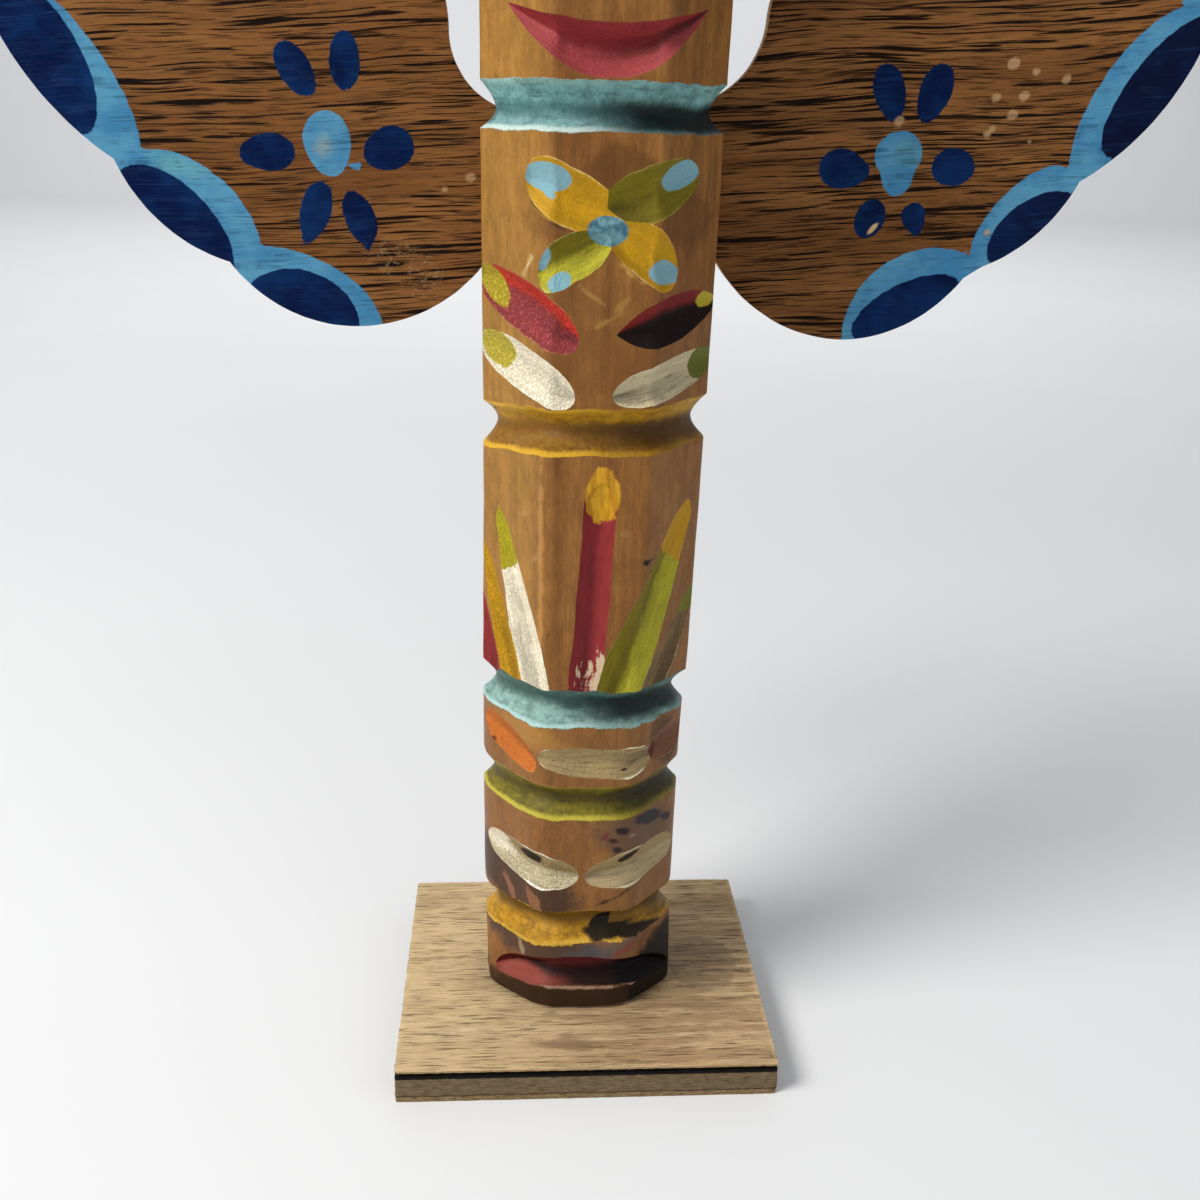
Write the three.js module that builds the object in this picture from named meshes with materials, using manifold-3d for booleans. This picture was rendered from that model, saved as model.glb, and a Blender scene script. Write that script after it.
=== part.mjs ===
// A small carved and painted totem pole with spread wings, standing on a plywood plate.
// Millimetres, +Z up. The carved front faces -Y. The origin is the centre of the plate's underside.
import * as THREE from "three";
import { mergeVertices } from "three/addons/utils/BufferGeometryUtils.js";
import Module from "manifold-3d";

const wasm = await Module();
wasm.setup();

// ---- Driving dimensions -------------------------------------------------------------------

const TOUCH_GAP = 0.3; // left open between pieces that touch

// The plate: three plies, with the glue line under the top ply sprung open at the rim.
const BASE_WIDTH = 80;
const BASE_DEPTH = 68;
const BASE_THICKNESS = 7.8;
const BASE_CORNER = 1;
const TOP_PLY = 1.1;
const OPEN_GLUE_LINE = 0.8;
const OPEN_GLUE_DEPTH = 1.5;

// The pole: a split post planed to eight facets, a little wider at the top and slightly bowed.
const POLE_HEIGHT = 235.5;
const SIDE_HALF_WIDTH = 20.9; // half the width at the foot
const WIDENING = 1.1 / 184; // added to that half width for each millimetre of height
const FRONT_HALF_WIDTH = 9.4; // half the flat front facet
const BACK_HALF_WIDTH = 13; // half the flat back
const FRONT_Y = -15.5;
const SIDE_FRONT_Y = -1; // where the front bevel meets the side
const SIDE_BACK_Y = 4; // where the side meets the back bevel
const BACK_Y = 15.5;
const BOW = 1; // how far the post bends to the left
const BOW_HEIGHT = 45; // where it bends most
const BOW_REACH = 60; // how far above and below that the bend dies away
const TOP_BEVEL = 2.2;
const FOOT_BEVEL = 0.7;
const EDGE_ROUNDING = 0.8; // how far on either side of a front edge the rounding reaches
const WORN_ROUNDING = 3.6; // the same low down, where the edges are rubbed away
const WORN_BELOW = 78;
const WORN_FADE = 10; // the height over which the rubbed edges turn crisp
const FACET_POINTS = [5, 5, 2, 3, 3, 3, 2, 5]; // points along each facet, from the front one on

// The grooves rasped round the pole. Each runs at one height in front and may climb or sink
// towards its left and right sides. All heights are measured to the middle of the groove.
const GROOVES = [
  { front: 21.4, left: 19.4, right: 19.2, width: 8, depth: 3.2 },
  { front: 51.4, left: 52.1, right: 51.2, width: 7.6, depth: 2.4 },
  { front: 73.1, left: 73.6, right: 71.2, width: 8.2, depth: 3 },
  { front: 128.9, left: 127.2, right: 129.2, width: 8.8, depth: 3 },
  { front: 184.3, left: 184.3, right: 184.3, width: 8, depth: 3 },
];
const GROOVE_STEPS = 8;
const GROOVE_BLUNTNESS = 1.7; // 1 is a sharp V, 2 a round U
const GROOVE_ROUNDING = 2; // neighbours on each side that round off a corner in a groove

// The cuts on the front, in the front view: x, and the height above the plate's top. Each one
// runs from one end to the other, is so wide and so deep at its fullest, and may bow upwards.
// A petal is rounded at both ends and a leaf is pointed. A ray starts narrow and runs out wide,
// and a channel is as wide all along.
const CUTS = [
  // mouth and eyes of the lower face
  { form: "petal", from: [-19.6, 4.6], to: [19.8, 4], bow: 5.3, width: 9.4, depth: 4.6 },
  { form: "petal", from: [-22.6, 36], to: [-1.8, 33.6], bow: -0.3, width: 9.2, depth: 1.5 },
  { form: "petal", from: [21, 34], to: [-0.8, 33.8], bow: 1.2, width: 9, depth: 1.5 },
  // the three broad chips of the narrow band
  { form: "petal", from: [-23, 64.6], to: [-11.2, 58.6], bow: 0, width: 6.4, depth: 1.5 },
  { form: "petal", from: [-10.6, 61.4], to: [14, 60.2], bow: -0.6, width: 7, depth: 1.1 },
  { form: "petal", from: [23.6, 61.4], to: [12, 61], bow: 0, width: 8, depth: 1.5 },
  // the rays that rise from the third groove
  { form: "ray", from: [-23.2, 96], to: [-20, 74], bow: 0, width: 4.4, depth: 1.5 },
  { form: "ray", from: [-21.8, 104], to: [-15.4, 74], bow: 0, width: 3.6, depth: 1.3 },
  { form: "ray", from: [-18.9, 111.6], to: [-10.9, 74], bow: 0, width: 5.8, depth: 1.6 },
  { form: "channel", from: [0.8, 120], to: [-1.8, 74], bow: 0, width: 6.9, depth: 1.2 },
  { form: "ray", from: [18.2, 112.8], to: [3.9, 74], bow: 0, width: 7.4, depth: 1.7 },
  { form: "ray", from: [21.4, 95.4], to: [11.4, 74], bow: 0, width: 5.6, depth: 1.6 },
  // the four petals of the flower
  { form: "petal", from: [-14.2, 173.4], to: [1.6, 163.4], bow: 0, width: 9.6, depth: 1.7 },
  { form: "petal", from: [16.4, 174.6], to: [-1.4, 166], bow: 0, width: 8.4, depth: 1.7 },
  { form: "petal", from: [-12, 156.6], to: [0.8, 163.4], bow: 0, width: 7.8, depth: 1.5 },
  { form: "petal", from: [12.6, 155.4], to: [-0.6, 164.6], bow: 0, width: 9, depth: 1.5 },
  // the red pair and the white pair under the flower
  { form: "petal", from: [-22.6, 154.8], to: [-4.2, 145.4], bow: 0, width: 9.4, depth: 2.6 },
  { form: "leaf", from: [23.2, 151.4], to: [2, 146.6], bow: 0, width: 9, depth: 2.6 },
  { form: "petal", from: [-22.6, 142.8], to: [-4.6, 134.8], bow: 0, width: 7.6, depth: 1.7 },
  { form: "petal", from: [23.4, 140.8], to: [1.8, 135.6], bow: 0, width: 7.4, depth: 1.7 },
  // mouth and eyes of the upper face
  { form: "leaf", from: [-17.5, 200.5], to: [17.5, 200.5], bow: -7.6, width: 9, depth: 3.4 },
  { form: "petal", from: [-22.8, 221.5], to: [-1.4, 213], bow: -0.6, width: 8, depth: 1.6 },
  { form: "petal", from: [22.8, 221.5], to: [1.4, 213], bow: -0.6, width: 8, depth: 1.6 },
];
const CUT_STEPS = 12;
const CUT_BLUNTNESS = 1.3;
const CUT_BOW_FULLNESS = 2.2; // 2 bows as a parabola, more keeps the middle flatter
const EDGE_TURN = 3; // a blade turns over a facet's edge within this much on either side
const CUT_RIM = 0.05; // how far a cutter's rim stands proud, so that its walls cross the wood
const CUT_LIFT = 2.5; // how far a cutter reaches out in front of the wood

// The wings: one thin board behind the pole. Points are x and the height above the plate's top.
// Each arc ends at a point and bulges outwards by its rise; a negative rise is hollow.
const BOARD_THICKNESS = 3;
const NECK_RISE = -3; // the hollow of the neck's lower edge, hidden behind the pole
const LEFT_WING = {
  start: [-16.2, 165],
  arcs: [
    { to: [-46.5, 142.4], rise: 5.9 },
    { to: [-70.9, 154.3], rise: 3.4 },
    { to: [-90.9, 172.7], rise: 3.2 },
    { to: [-112.5, 204], rise: 3.6 },
    { to: [-108.5, 231], rise: 7.4 },
    { to: [-47, 218.5], rise: 3.2 },
    { to: [-28, 198], rise: 5.2 },
    { to: [-14, 183], rise: -4.4 },
  ],
};
const RIGHT_WING = {
  start: [20.4, 165],
  arcs: [
    { to: [51.3, 141.4], rise: 6.6 },
    { to: [74.7, 154.1], rise: 3.1 },
    { to: [78.3, 156.5], rise: 0 },
    { to: [95.7, 173.2], rise: 2.4 },
    { to: [117.6, 204.5], rise: 4 },
    { to: [112, 232], rise: 7.4 },
    { to: [50, 219], rise: 3.2 },
    { to: [31.4, 200], rise: 5.2 },
    { to: [15, 185.1], rise: -4.3 },
  ],
};
const ARC_STEP = 2.6;

const HEIGHTS_FROM = BASE_THICKNESS; // heights in the lists above start at the plate's top
const MERGE_WITHIN = 1e-4; // vertices this near each other are one

// ---- Solids from meshes -------------------------------------------------------------------

// A closed geometry as a solid that can be joined and cut.
function solid(geometry) {
  const bare = geometry.clone();
  bare.deleteAttribute("normal");
  bare.deleteAttribute("uv");
  const merged = mergeVertices(bare, MERGE_WITHIN);
  return new wasm.Manifold(
    new wasm.Mesh({
      numProp: 3,
      vertProperties: new Float32Array(merged.attributes.position.array),
      triVerts: new Uint32Array(merged.index.array),
    }),
  );
}

// A solid as a geometry again.
function geometryOf(body) {
  const mesh = body.getMesh();
  const geometry = new THREE.BufferGeometry();
  geometry.setAttribute("position", new THREE.BufferAttribute(mesh.vertProperties, 3));
  geometry.setIndex(new THREE.BufferAttribute(mesh.triVerts, 1));
  geometry.computeVertexNormals();
  return geometry;
}

// A closed skin over equal rings of points, each ring running the same way, with flat ends.
function loft(rings) {
  const count = rings[0].length;
  const last = (rings.length - 1) * count;
  const positions = rings.flat(2);
  const index = [];
  for (let r = 0; r < last; r += count) {
    for (let i = 0; i < count; i++) {
      const j = (i + 1) % count;
      index.push(r + i, r + j, r + count + j, r + i, r + count + j, r + count + i);
    }
  }
  for (let i = 1; i < count - 1; i++) {
    index.push(0, i + 1, i);
    index.push(last, last + i, last + i + 1);
  }
  const geometry = new THREE.BufferGeometry();
  geometry.setAttribute("position", new THREE.Float32BufferAttribute(positions, 3));
  geometry.setIndex(index);
  return geometry;
}

// ---- The pole -----------------------------------------------------------------------------

function halfWidth(height) {
  return SIDE_HALF_WIDTH + WIDENING * height;
}

function flatHalfWidth(height) {
  return (FRONT_HALF_WIDTH * halfWidth(height)) / SIDE_HALF_WIDTH;
}

function bowAt(height) {
  return -BOW * Math.exp(-(((height - BOW_HEIGHT) / BOW_REACH) ** 2));
}

// How far back the front of the post lies at a distance from its middle: flat, then bevelled,
// with the edge between the two eased over.
function frontY(across, height) {
  const flat = flatHalfWidth(height);
  const slope = (SIDE_FRONT_Y - FRONT_Y) / (halfWidth(height) - flat);
  const worn = 1 - THREE.MathUtils.smoothstep(height, WORN_BELOW - WORN_FADE, WORN_BELOW);
  const reach = THREE.MathUtils.lerp(EDGE_ROUNDING, WORN_ROUNDING, worn);
  const past = Math.abs(across) - flat;
  if (past < -reach) return FRONT_Y;
  if (past > reach) return FRONT_Y + slope * past;
  return FRONT_Y + (slope * (past + reach) ** 2) / (4 * reach);
}

// The planed post's outline at a height, seen from above and anticlockwise.
function facets(height) {
  const half = halfWidth(height);
  const flat = flatHalfWidth(height);
  const back = (BACK_HALF_WIDTH * half) / SIDE_HALF_WIDTH;
  const corners = [
    [-flat, FRONT_Y],
    [flat, FRONT_Y],
    [half, SIDE_FRONT_Y],
    [half, SIDE_BACK_Y],
    [back, BACK_Y],
    [-back, BACK_Y],
    [-half, SIDE_BACK_Y],
    [-half, SIDE_FRONT_Y],
  ].map(([x, y]) => new THREE.Vector2(x, y));
  return corners.flatMap((corner, i) => {
    const next = corners[(i + 1) % corners.length];
    const count = FACET_POINTS[i];
    return Array.from({ length: count }, (_, k) => {
      const point = corner.clone().lerp(next, k / count);
      if (point.y < SIDE_FRONT_Y) point.y = frontY(point.x, height);
      return point;
    });
  });
}

// The mean of a point and its neighbours, which rounds the corners of a closed outline off.
function rounded(outline, i) {
  const mean = new THREE.Vector2();
  for (let k = -GROOVE_ROUNDING; k <= GROOVE_ROUNDING; k++) {
    mean.add(outline.at((i + k) % outline.length));
  }
  return mean.divideScalar(2 * GROOVE_ROUNDING + 1);
}

// How far a groove has climbed at a share of the way from the front's middle to a side.
function climbAt(groove, share) {
  const side = share < 0 ? groove.left : groove.right;
  return (side - groove.front) * share ** 2;
}

// One ring of the post's skin: sunk by an inset, the rounder the deeper it lies in a groove.
function ring(height, inset = 0, groove = null) {
  const outline = facets(height);
  const soft = groove ? inset / groove.depth : 0;
  return outline.map((corner, i) => {
    const point = corner.clone().lerp(rounded(outline, i), soft);
    point.setLength(point.length() - inset);
    const climb = groove ? climbAt(groove, point.x / halfWidth(height)) : 0;
    return [point.x + bowAt(height), point.y, HEIGHTS_FROM + height + climb];
  });
}

// A groove from its lower lip to its upper one: a V with a rounded bottom and sharp lips.
function grooveRings(groove) {
  return Array.from({ length: GROOVE_STEPS + 1 }, (_, k) => {
    const share = k / GROOVE_STEPS;
    const inset = groove.depth * (1 - Math.abs(2 * share - 1) ** GROOVE_BLUNTNESS);
    return ring(groove.front + (share - 0.5) * groove.width, inset, groove);
  });
}

function groovedPost() {
  const rings = [
    ring(TOUCH_GAP, FOOT_BEVEL),
    ring(TOUCH_GAP + FOOT_BEVEL),
    ...GROOVES.flatMap(grooveRings),
    ring(POLE_HEIGHT - TOP_BEVEL),
    ring(POLE_HEIGHT, TOP_BEVEL),
  ];
  return solid(loft(rings));
}

// The front of the post at x and height, with its outward normal. The normal turns smoothly
// across the edge between the front facet and a bevel, and past a side the bevel runs on.
function frontSurface(x, height) {
  const flat = flatHalfWidth(height);
  const slope = (SIDE_FRONT_Y - FRONT_Y) / (halfWidth(height) - flat);
  const across = x - bowAt(height);
  const turn = THREE.MathUtils.smoothstep(Math.abs(across), flat - EDGE_TURN, flat + EDGE_TURN);
  const normal = new THREE.Vector3(Math.sign(across) * slope * turn, -1, 0).normalize();
  return { point: new THREE.Vector3(x, frontY(across, height), HEIGHTS_FROM + height), normal };
}

// Half width and depth of a cut along its length, as shares of the fullest.
const CUT_FORMS = {
  petal: (s) => Math.sqrt(Math.max(0, 1 - Math.abs(2 * s - 1) ** 2.6)),
  leaf: (s) => 1 - Math.abs(2 * s - 1) ** 2.2,
  ray: (s) => Math.sqrt(Math.min(1, s * 10)) * Math.min(1, 0.4 + 0.85 * s),
  channel: (s) => Math.sqrt(Math.min(1, s * 12)) * (0.92 + 0.08 * s),
};
const ACROSS = [-1, -0.6, 0, 0.6, 1];

// Where a cut is sliced along its length. One slice is moved onto each facet edge it crosses.
function slicesOf({ from, to }) {
  const slices = Array.from({ length: CUT_STEPS + 1 }, (_, k) => k / CUT_STEPS);
  const height = (from[1] + to[1]) / 2;
  for (const side of [-1, 1]) {
    const edge = bowAt(height) + side * flatHalfWidth(height);
    const share = (edge - from[0]) / (to[0] - from[0]);
    const nearest = Math.round(share * CUT_STEPS);
    if (nearest > 0 && nearest < CUT_STEPS) slices[nearest] = share;
  }
  return slices;
}

// The chisel's path as a solid: below the wood a V with rounded walls, above it open air. A cut
// that runs across the post is sliced upright, and one that runs up the post is sliced level.
function cutter(cut) {
  const { form, from, to, bow, width, depth } = cut;
  const run = to[0] - from[0];
  const climb = to[1] - from[1];
  const steep = Math.abs(climb) > Math.abs(run);
  const reach = ((width / 2) * Math.hypot(run, climb)) / Math.max(Math.abs(run), Math.abs(climb));
  const rings = slicesOf(cut).map((s) => {
    const full = Math.max(0.02, CUT_FORMS[form](s));
    const x = from[0] + run * s;
    const height = from[1] + climb * s + bow * (1 - Math.abs(2 * s - 1) ** CUT_BOW_FULLNESS);
    const low = [];
    const high = [];
    for (const v of ACROSS) {
      const off = v * full * reach;
      const { point, normal } = steep
        ? frontSurface(x + off, height)
        : frontSurface(x, height + off);
      const sunk = full * depth * (1 - Math.abs(v) ** CUT_BLUNTNESS) - CUT_RIM;
      low.push(point.clone().addScaledVector(normal, -sunk).toArray());
      high.unshift(point.clone().addScaledVector(normal, CUT_LIFT).toArray());
    }
    return [...low, ...high];
  });
  const body = solid(loft(rings));
  return body.volume() < 0 ? solid(loft(rings.reverse())) : body;
}

function makePole() {
  let body = groovedPost();
  for (const cut of CUTS) {
    body = body.subtract(cutter(cut));
  }
  return geometryOf(body);
}

// ---- The wings ----------------------------------------------------------------------------

// Points on an arc from one point to another, the first left out. The rise is how far the arc
// bulges to the left of the way it runs.
function arc(from, to, rise) {
  const start = new THREE.Vector2(...from);
  const end = new THREE.Vector2(...to);
  if (rise === 0) return [end];
  const chord = end.clone().sub(start);
  const radius = (chord.length() ** 2 / 4 + rise ** 2) / (2 * rise);
  const side = new THREE.Vector2(-chord.y, chord.x).normalize();
  const centre = start.clone().add(end).multiplyScalar(0.5).addScaledVector(side, rise - radius);
  const sweep = -4 * Math.atan((2 * rise) / chord.length());
  const steps = Math.ceil(Math.abs(sweep * radius) / ARC_STEP);
  return Array.from({ length: steps }, (_, k) =>
    start.clone().rotateAround(centre, (sweep * (k + 1)) / steps),
  );
}

// One wing's outline from the neck's low edge out and round to the neck's high edge.
function wingOutline({ start, arcs }, side) {
  const points = [new THREE.Vector2(...start)];
  let from = start;
  for (const { to, rise } of arcs) {
    points.push(...arc(from, to, -side * rise));
    from = to;
  }
  return points;
}

function makeWings() {
  const left = wingOutline(LEFT_WING, -1).reverse();
  const right = wingOutline(RIGHT_WING, 1);
  const neck = arc(LEFT_WING.start, RIGHT_WING.start, -NECK_RISE).slice(0, -1);
  const shape = new THREE.Shape([...right, ...left, ...neck]);
  const board = new THREE.ExtrudeGeometry(shape, { depth: BOARD_THICKNESS, bevelEnabled: false });
  // Stood up, the outline's own Y becomes the height, and the board's thickness runs along Y.
  return board.rotateX(Math.PI / 2).translate(0, BOARD_THICKNESS, 0);
}

// ---- The plate ----------------------------------------------------------------------------

function plateLayer(inset, low, high) {
  const width = BASE_WIDTH - 2 * inset;
  const depth = BASE_DEPTH - 2 * inset;
  const corner = BASE_CORNER;
  const shape = new THREE.Shape();
  shape.moveTo(-width / 2 + corner, -depth / 2);
  shape.absarc(width / 2 - corner, -depth / 2 + corner, corner, -Math.PI / 2, 0);
  shape.absarc(width / 2 - corner, depth / 2 - corner, corner, 0, Math.PI / 2);
  shape.absarc(-width / 2 + corner, depth / 2 - corner, corner, Math.PI / 2, Math.PI);
  shape.absarc(-width / 2 + corner, -depth / 2 + corner, corner, Math.PI, 1.5 * Math.PI);
  const layer = new THREE.ExtrudeGeometry(shape, {
    depth: high - low,
    bevelEnabled: false,
    curveSegments: 4,
  });
  return solid(layer.translate(0, 0, low));
}

// One plate: the plies are glued for good, and only their rim has sprung open in front.
function makeBase() {
  const glueLow = BASE_THICKNESS - TOP_PLY - OPEN_GLUE_LINE;
  const glueHigh = BASE_THICKNESS - TOP_PLY;
  const lower = plateLayer(0, 0, glueLow);
  const between = plateLayer(OPEN_GLUE_DEPTH, glueLow, glueHigh);
  const upper = plateLayer(0, glueHigh, BASE_THICKNESS);
  return geometryOf(lower.add(between).add(upper));
}

// ---- Materials and the scene graph --------------------------------------------------------

const poleWood = new THREE.MeshStandardMaterial({ color: 0xa8753f, roughness: 0.55, metalness: 0 });
const wingBoard = new THREE.MeshStandardMaterial({ color: 0x8a5a30, roughness: 0.5, metalness: 0 });
const plateBoard = new THREE.MeshStandardMaterial({ color: 0xb99d74, roughness: 0.8, metalness: 0 });

const pole = new THREE.Mesh(makePole(), poleWood);
pole.name = "pole";

const wings = new THREE.Mesh(makeWings(), wingBoard);
wings.name = "wings";
wings.position.set(0, BACK_Y + TOUCH_GAP, HEIGHTS_FROM);

const base = new THREE.Mesh(makeBase(), plateBoard);
base.name = "base";

const totem = new THREE.Group();
totem.add(pole, wings, base);

export default totem;
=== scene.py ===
# %% [markdown]
# # A small totem pole with painted wings
# The real thing is three glued pieces: a carved post, a thin board with two wings sawn from it,
# and a plywood plate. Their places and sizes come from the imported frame, and this script only
# makes their looks. All lists of places below are in millimetres, in the front view, with
# heights counted from the plate's top.

# %% Load the frame
import math
from types import SimpleNamespace

import bmesh
import bpy
import numpy as np
from mathutils import Matrix, Vector, noise


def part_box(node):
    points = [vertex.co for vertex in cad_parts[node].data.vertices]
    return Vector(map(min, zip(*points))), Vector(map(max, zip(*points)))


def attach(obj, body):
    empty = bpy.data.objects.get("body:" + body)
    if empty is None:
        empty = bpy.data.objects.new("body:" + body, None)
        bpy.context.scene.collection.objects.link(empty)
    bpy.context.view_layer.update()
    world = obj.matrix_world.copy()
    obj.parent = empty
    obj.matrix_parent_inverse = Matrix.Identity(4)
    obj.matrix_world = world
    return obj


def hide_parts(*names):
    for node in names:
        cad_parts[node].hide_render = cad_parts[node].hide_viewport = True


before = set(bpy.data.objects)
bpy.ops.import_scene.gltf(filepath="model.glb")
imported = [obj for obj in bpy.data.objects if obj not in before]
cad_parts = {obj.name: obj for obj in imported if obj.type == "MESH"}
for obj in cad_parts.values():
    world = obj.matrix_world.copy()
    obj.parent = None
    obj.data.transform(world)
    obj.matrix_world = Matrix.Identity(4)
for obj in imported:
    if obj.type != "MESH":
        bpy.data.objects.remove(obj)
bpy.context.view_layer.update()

MM = 0.001
PLATE_LOW, PLATE_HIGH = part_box("base")
POST_LOW, POST_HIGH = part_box("pole")
BOARD_LOW, BOARD_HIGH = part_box("wings")
FLOOR_OF_HEIGHTS = PLATE_HIGH.z / MM
print("plate", [round(v / MM, 1) for v in PLATE_HIGH - PLATE_LOW], "mm")
print("post", [round(v / MM, 1) for v in POST_HIGH - POST_LOW], "mm")

# %% [markdown]
# ## Camera
# The object is seen from a little above and close by, so the post narrows towards the plate.
# The camera is turned by three plain angles: down, sideways and a slight roll.

# %% Camera
CAMERA_PLACE = Vector((-15.4, -238.5, 191.1)) * MM
LOOK_DOWN = math.radians(21.25)
LOOK_ASIDE = math.radians(-4.16)
ROLL = math.radians(1.7)


def make_camera():
    aside = Matrix.Rotation(LOOK_ASIDE, 4, "Z")
    down = Matrix.Rotation(math.pi / 2 - LOOK_DOWN, 4, "X")
    data = bpy.data.cameras.new("camera")
    data.lens = 37.56
    data.sensor_width = 36
    data.clip_start = 0.01
    camera = bpy.data.objects.new("camera", data)
    bpy.context.scene.collection.objects.link(camera)
    camera.matrix_world = Matrix.Translation(CAMERA_PLACE) @ aside @ down @ Matrix.Rotation(ROLL, 4, "Z")
    bpy.context.scene.camera = camera
    return camera


camera = make_camera()
print("camera", [round(v, 3) for v in camera.location])

# %% [markdown]
# ## Working by hand in code
# Operators act on what is selected, so each piece starts with nothing selected. In edit mode
# faces, edges or vertices are picked by a rule about where they are.

# %% Helpers for picking and finishing


def new_piece(name, add, **settings):
    """Adds a primitive while nothing else is selected."""
    bpy.ops.object.select_all(action="DESELECT")
    add(**settings)
    piece = bpy.context.object
    piece.name = name
    return piece


def pick(piece, kind, rule):
    """In edit mode, selects the vertices, edges or faces that the rule holds for."""
    bpy.ops.mesh.select_mode(type={"verts": "VERT", "edges": "EDGE", "faces": "FACE"}[kind])
    bpy.ops.mesh.select_all(action="DESELECT")
    mesh = bmesh.from_edit_mesh(piece.data)
    for part in getattr(mesh, kind):
        if rule(part):
            part.select_set(True)
    mesh.select_flush_mode()
    bmesh.update_edit_mesh(piece.data)


def alone(piece):
    """Only this object is selected and active."""
    bpy.ops.object.select_all(action="DESELECT")
    piece.select_set(True)
    bpy.context.view_layer.objects.active = piece


def extrude(*move):
    bpy.ops.mesh.extrude_region_move(TRANSFORM_OT_translate={"value": move})


def face_outwards():
    """The last step in edit mode."""
    bpy.ops.mesh.select_all(action="SELECT")
    bpy.ops.mesh.normals_make_consistent(inside=False)
    bpy.ops.object.mode_set(mode="OBJECT")


def thicken(thickness, fill=False):
    """Makes a closed solid of a sheet, or of a ring that is filled first, by extruding it."""
    bpy.ops.object.mode_set(mode="EDIT")
    bpy.ops.mesh.select_all(action="SELECT")
    if fill:
        bpy.ops.mesh.edge_face_add()
    extrude(0, thickness, 0)
    face_outwards()


def places(mesh):
    """The vertices of a mesh as an array, in millimetres."""
    flat = np.empty(len(mesh.vertices) * 3)
    mesh.vertices.foreach_get("co", flat)
    return flat.reshape(-1, 3) / MM


def put(mesh, points):
    mesh.vertices.foreach_set("co", (np.asarray(points) * MM).ravel())
    mesh.update()


def cut_with(piece, tool, **settings):
    """Applies a Boolean with another object, which is then removed."""
    alone(piece)
    modifier = piece.modifiers.new("cut", "BOOLEAN")
    modifier.object = tool
    modifier.solver = "MANIFOLD"
    for name, value in settings.items():
        setattr(modifier, name, value)
    bpy.ops.object.modifier_apply(modifier=modifier.name)
    bpy.data.objects.remove(tool)


def smooth_under(piece, degrees):
    alone(piece)
    bpy.ops.object.shade_smooth_by_angle(angle=math.radians(degrees))


def mid(edge):
    return (edge.verts[0].co + edge.verts[1].co) / 2


def rough(point, size, seed=0.0):
    """Smooth noise from about -1 to 1, with lumps of the given size in millimetres."""
    return noise.noise(Vector(point) / size + Vector((seed, 2.3 * seed, -seed)))


# %% [markdown]
# ## Floor and light
# A plain pale floor bends up into a pale wall far behind. The main light is a large soft one
# high on the left, so that the right walls of the grooves and cuts fall into shade.

# %% Floor and light
STAGE_HALF = 3.0
STAGE_WALL = 1.6
STAGE_BEND = 0.5


def make_floor():
    floor = new_piece("floor", bpy.ops.mesh.primitive_plane_add, size=2 * STAGE_HALF, location=(0, 0, 0))
    bpy.ops.object.mode_set(mode="EDIT")
    pick(floor, "edges", lambda e: mid(e).y > STAGE_HALF - 0.1)
    extrude(0, 0, STAGE_WALL)
    pick(floor, "edges", lambda e: mid(e).y > STAGE_HALF - 0.1 and mid(e).z < 0.1)
    bpy.ops.mesh.bevel(offset=STAGE_BEND, segments=16)
    bpy.ops.object.mode_set(mode="OBJECT")
    bpy.ops.object.shade_smooth()
    return floor


def soft_light(name, place, aim, size, power, colour):
    data = bpy.data.lights.new(name, "AREA")
    data.shape = "DISK"
    data.size = size
    data.energy = power
    data.color = colour
    light = bpy.data.objects.new(name, data)
    bpy.context.scene.collection.objects.link(light)
    light.location = place
    light.rotation_euler = (Vector(aim) - Vector(place)).to_track_quat("-Z", "Y").to_euler()


floor = make_floor()
soft_light("window", (-0.75, -0.35, 0.85), (0, 0, 0.11), 0.5, 11.5, (1.0, 0.98, 0.95))
soft_light("backdrop", (0.0, 1.2, 1.5), (0, 2.9, 0.3), 1.5, 17, (1.0, 1.0, 1.0))
soft_light("fill", (0.9, -0.9, 0.7), (0, 0, 0.1), 1.2, 1.6, (0.93, 0.96, 1.0))
world = bpy.data.worlds.new("studio")
bpy.context.scene.world = world
world.use_nodes = True
world.node_tree.nodes["Background"].inputs["Color"].default_value = (0.95, 0.97, 1.0, 1)
world.node_tree.nodes["Background"].inputs["Strength"].default_value = 0.46
bpy.context.scene.view_settings.view_transform = "Standard"

# %% [markdown]
# ## Writing node trees as sums
# Every finish here is a tree of nodes. Placing nodes one by one hides the idea, so these small
# helpers add a node, feed it and hand back its output, which can be added and multiplied like a
# number. A finish then reads as a sum.

# %% The node helpers


def paint(code):
    """A colour as seen on screen, such as "a8763c", in the linear values that shaders use."""
    parts = [int(code[i : i + 2], 16) / 255 for i in (0, 2, 4)]
    linear = [p / 12.92 if p <= 0.04045 else ((p + 0.055) / 1.055) ** 2.4 for p in parts]
    return (*linear, 1.0)


class Value:
    """What a node puts out."""

    def __init__(self, recipe, socket):
        self.recipe = recipe
        self.socket = socket

    def __add__(self, other):
        return self.recipe.sum("ADD", self, other)

    def __sub__(self, other):
        return self.recipe.sum("SUBTRACT", self, other)

    def __rsub__(self, other):
        return self.recipe.sum("SUBTRACT", other, self)

    def __mul__(self, other):
        return self.recipe.sum("MULTIPLY", self, other)

    def __truediv__(self, other):
        return self.recipe.sum("DIVIDE", self, other)

    def __abs__(self):
        return self.recipe.sum("ABSOLUTE", self)


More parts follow.
